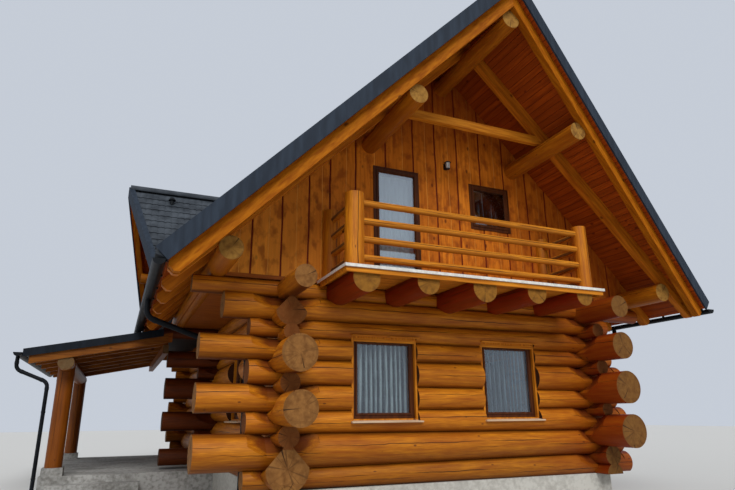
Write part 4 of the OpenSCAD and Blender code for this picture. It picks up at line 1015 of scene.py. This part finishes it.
# Balcony: five joists carry a deck of planed boards 145 mm wide, with a pale edge strip.
# Log posts at the corners and half posts on the wall hold four turned log rails.
deck_top, deck_low, deck_front, deck_back = deck_z - 0.0003, deck_z - deck_t, -1.33, -0.0905
edges, arris = np.linspace(deck_front + 0.03, deck_back, 9), 0.004
runs = []
for a, b in zip(edges[:-1] + 0.003, edges[1:] - 0.003):
    profile = [(a, deck_low), (b, deck_low), (b, deck_top - arris), (b - arris, deck_top),
               (a + arris, deck_top), (a, deck_top - arris)]
    runs.append(bar(profile, deck_x))
deck_boards = planed("planed_deck_boards", "xyz", ("D48628", "A05812", "4A200A"), rough=0.6)
keep(carried("balcony_deck_boards", runs, deck_boards), "rafter_timber", "balcony_deck")
strip_low = deck_low + 0.002
strips = [bar(rect(deck_front, strip_low, deck_front + 0.029, deck_top), deck_x)]
for x in (-2.442, 2.256):
    strips.append(bar(rect(x, strip_low, x + 0.016, deck_top + 0.002), (-1.332, -0.092), 1))
pale_edge = clouded("pale_edge_strip", 20.0, 3.0, "C9C6BE", "E6E4DE", 0.5)
keep(carried("balcony_edge_strip", strips, pale_edge), "concrete")


def fascia_ring(a, e=0.003, thick=0.03):
    """A fascia board's section from a on, with its lower edges chamfered by e."""
    low, high = deck_low - 0.0677, deck_low - 0.001
    return [(a, low + e), (a + e, low), (a + thick - e, low), (a + thick, low + e),
            (a + thick, high), (a, high)]


fascia = [bar(fascia_ring(deck_front + 0.025), (-2.42, 2.25))]
fascia += [bar(fascia_ring(x), (-1.2745, -0.18), 1) for x in (-2.42, 2.22)]
keep(carried("balcony_fascia", fascia, level_timber), "rafter_timber")
post_y, post_hearts = -1.095, [deck_x[0] + 0.225, deck_x[1] - 0.2]
dress("balcony_posts", stained_log(
    "stained_spruce_balcony_posts", "z", ("x", [0], post_hearts, [0.145, 0.122]),
    ("y", [-0.6], [post_y, -0.09], [0.14, 0.14])))
rail_z = [deck_z + 0.158 + 0.283 * i for i in range(4)]
rail_edges = [(a + b) / 2 for a, b in zip(rail_z[:-1], rail_z[1:])]
dress("balcony_rails", stained_log(
    "stained_spruce_rails", "x", ("y", [0], [post_y, post_y], [0.06, 0.06]),
    ("z", rail_edges, rail_z, [0.06] * 4), tone=("E09020", "B06814"), shade=0.35))


# Porch: log posts on piers carry a log beam, planed rafters and a low roof of folded metal
# sheet with standing seams every 600 mm.
porch_ends, post_heart = ("6E5638", "4C3820"), -6.14
porch_rise, porch_eave = math.tan(math.radians(11.3)), (-6.9, 2.79)
dress("porch_posts", stained_log(
    "stained_spruce_porch_posts", "z", ("x", [20], [post_heart] * 2, [0.158] * 2),
    ("y", [7.5], [5.06, 10.29], [0.158] * 2), tone=("864806", "5A2A02"), ends=porch_ends))
beam_z = porch_eave[1] + 0.76 * porch_rise - 0.09 - 0.15 - 0.15 + 0.015
dress("porch_beams", stained_log(
    "stained_spruce_porch_beam", "y", ("x", [-5.0], [post_heart, -4.22], [0.15, 0.16]),
    ("x", [-5.0], [beam_z, 2.85], [0.15, 0.16]), tone=("A4600E", "6E3406"), ends=porch_ends))
dress("porch_rafters", planed("planed_spruce_porch_rafters", "xyz", ("A45C12", "6C3406", "321404")))
porch_timber = planed("planed_spruce_porch_barge_boards", "xyz", ("864E0E", "623206", "2E1606"))


def up_porch(profile, y, ends):
    """A bar up the porch roof's slope: its profile's heights count from the roof's face."""
    run = bar(np.asarray(profile) + (y, porch_eave[1]), ends)
    run[..., 2] += (run[..., 0] - porch_eave[0]) * porch_rise
    return run


barge_ring = [(0, -0.286), (0.004, -0.290), (0.022, -0.290), (0.025, -0.286), (0.025, -0.0915),
              (0, -0.0915)]
barge = [up_porch(barge_ring, y, (-6.79, -4.25)) for y in (4.534, 10.79)]
keep(carried("porch_barge_boards", barge, porch_timber), "rafter_timber")
seam_ring = [(-0.012, -0.002), (0.012, -0.002), (0.010, 0.022), (0.007, 0.024), (-0.007, 0.024),
             (-0.010, 0.022)]
seams = [up_porch(seam_ring, y, (-6.895, -4.35)) for y in np.arange(4.8, 10.85, 0.6)]
keep(carried("porch_standing_seams", seams, porch_sheet), "slate_sheet_metal")
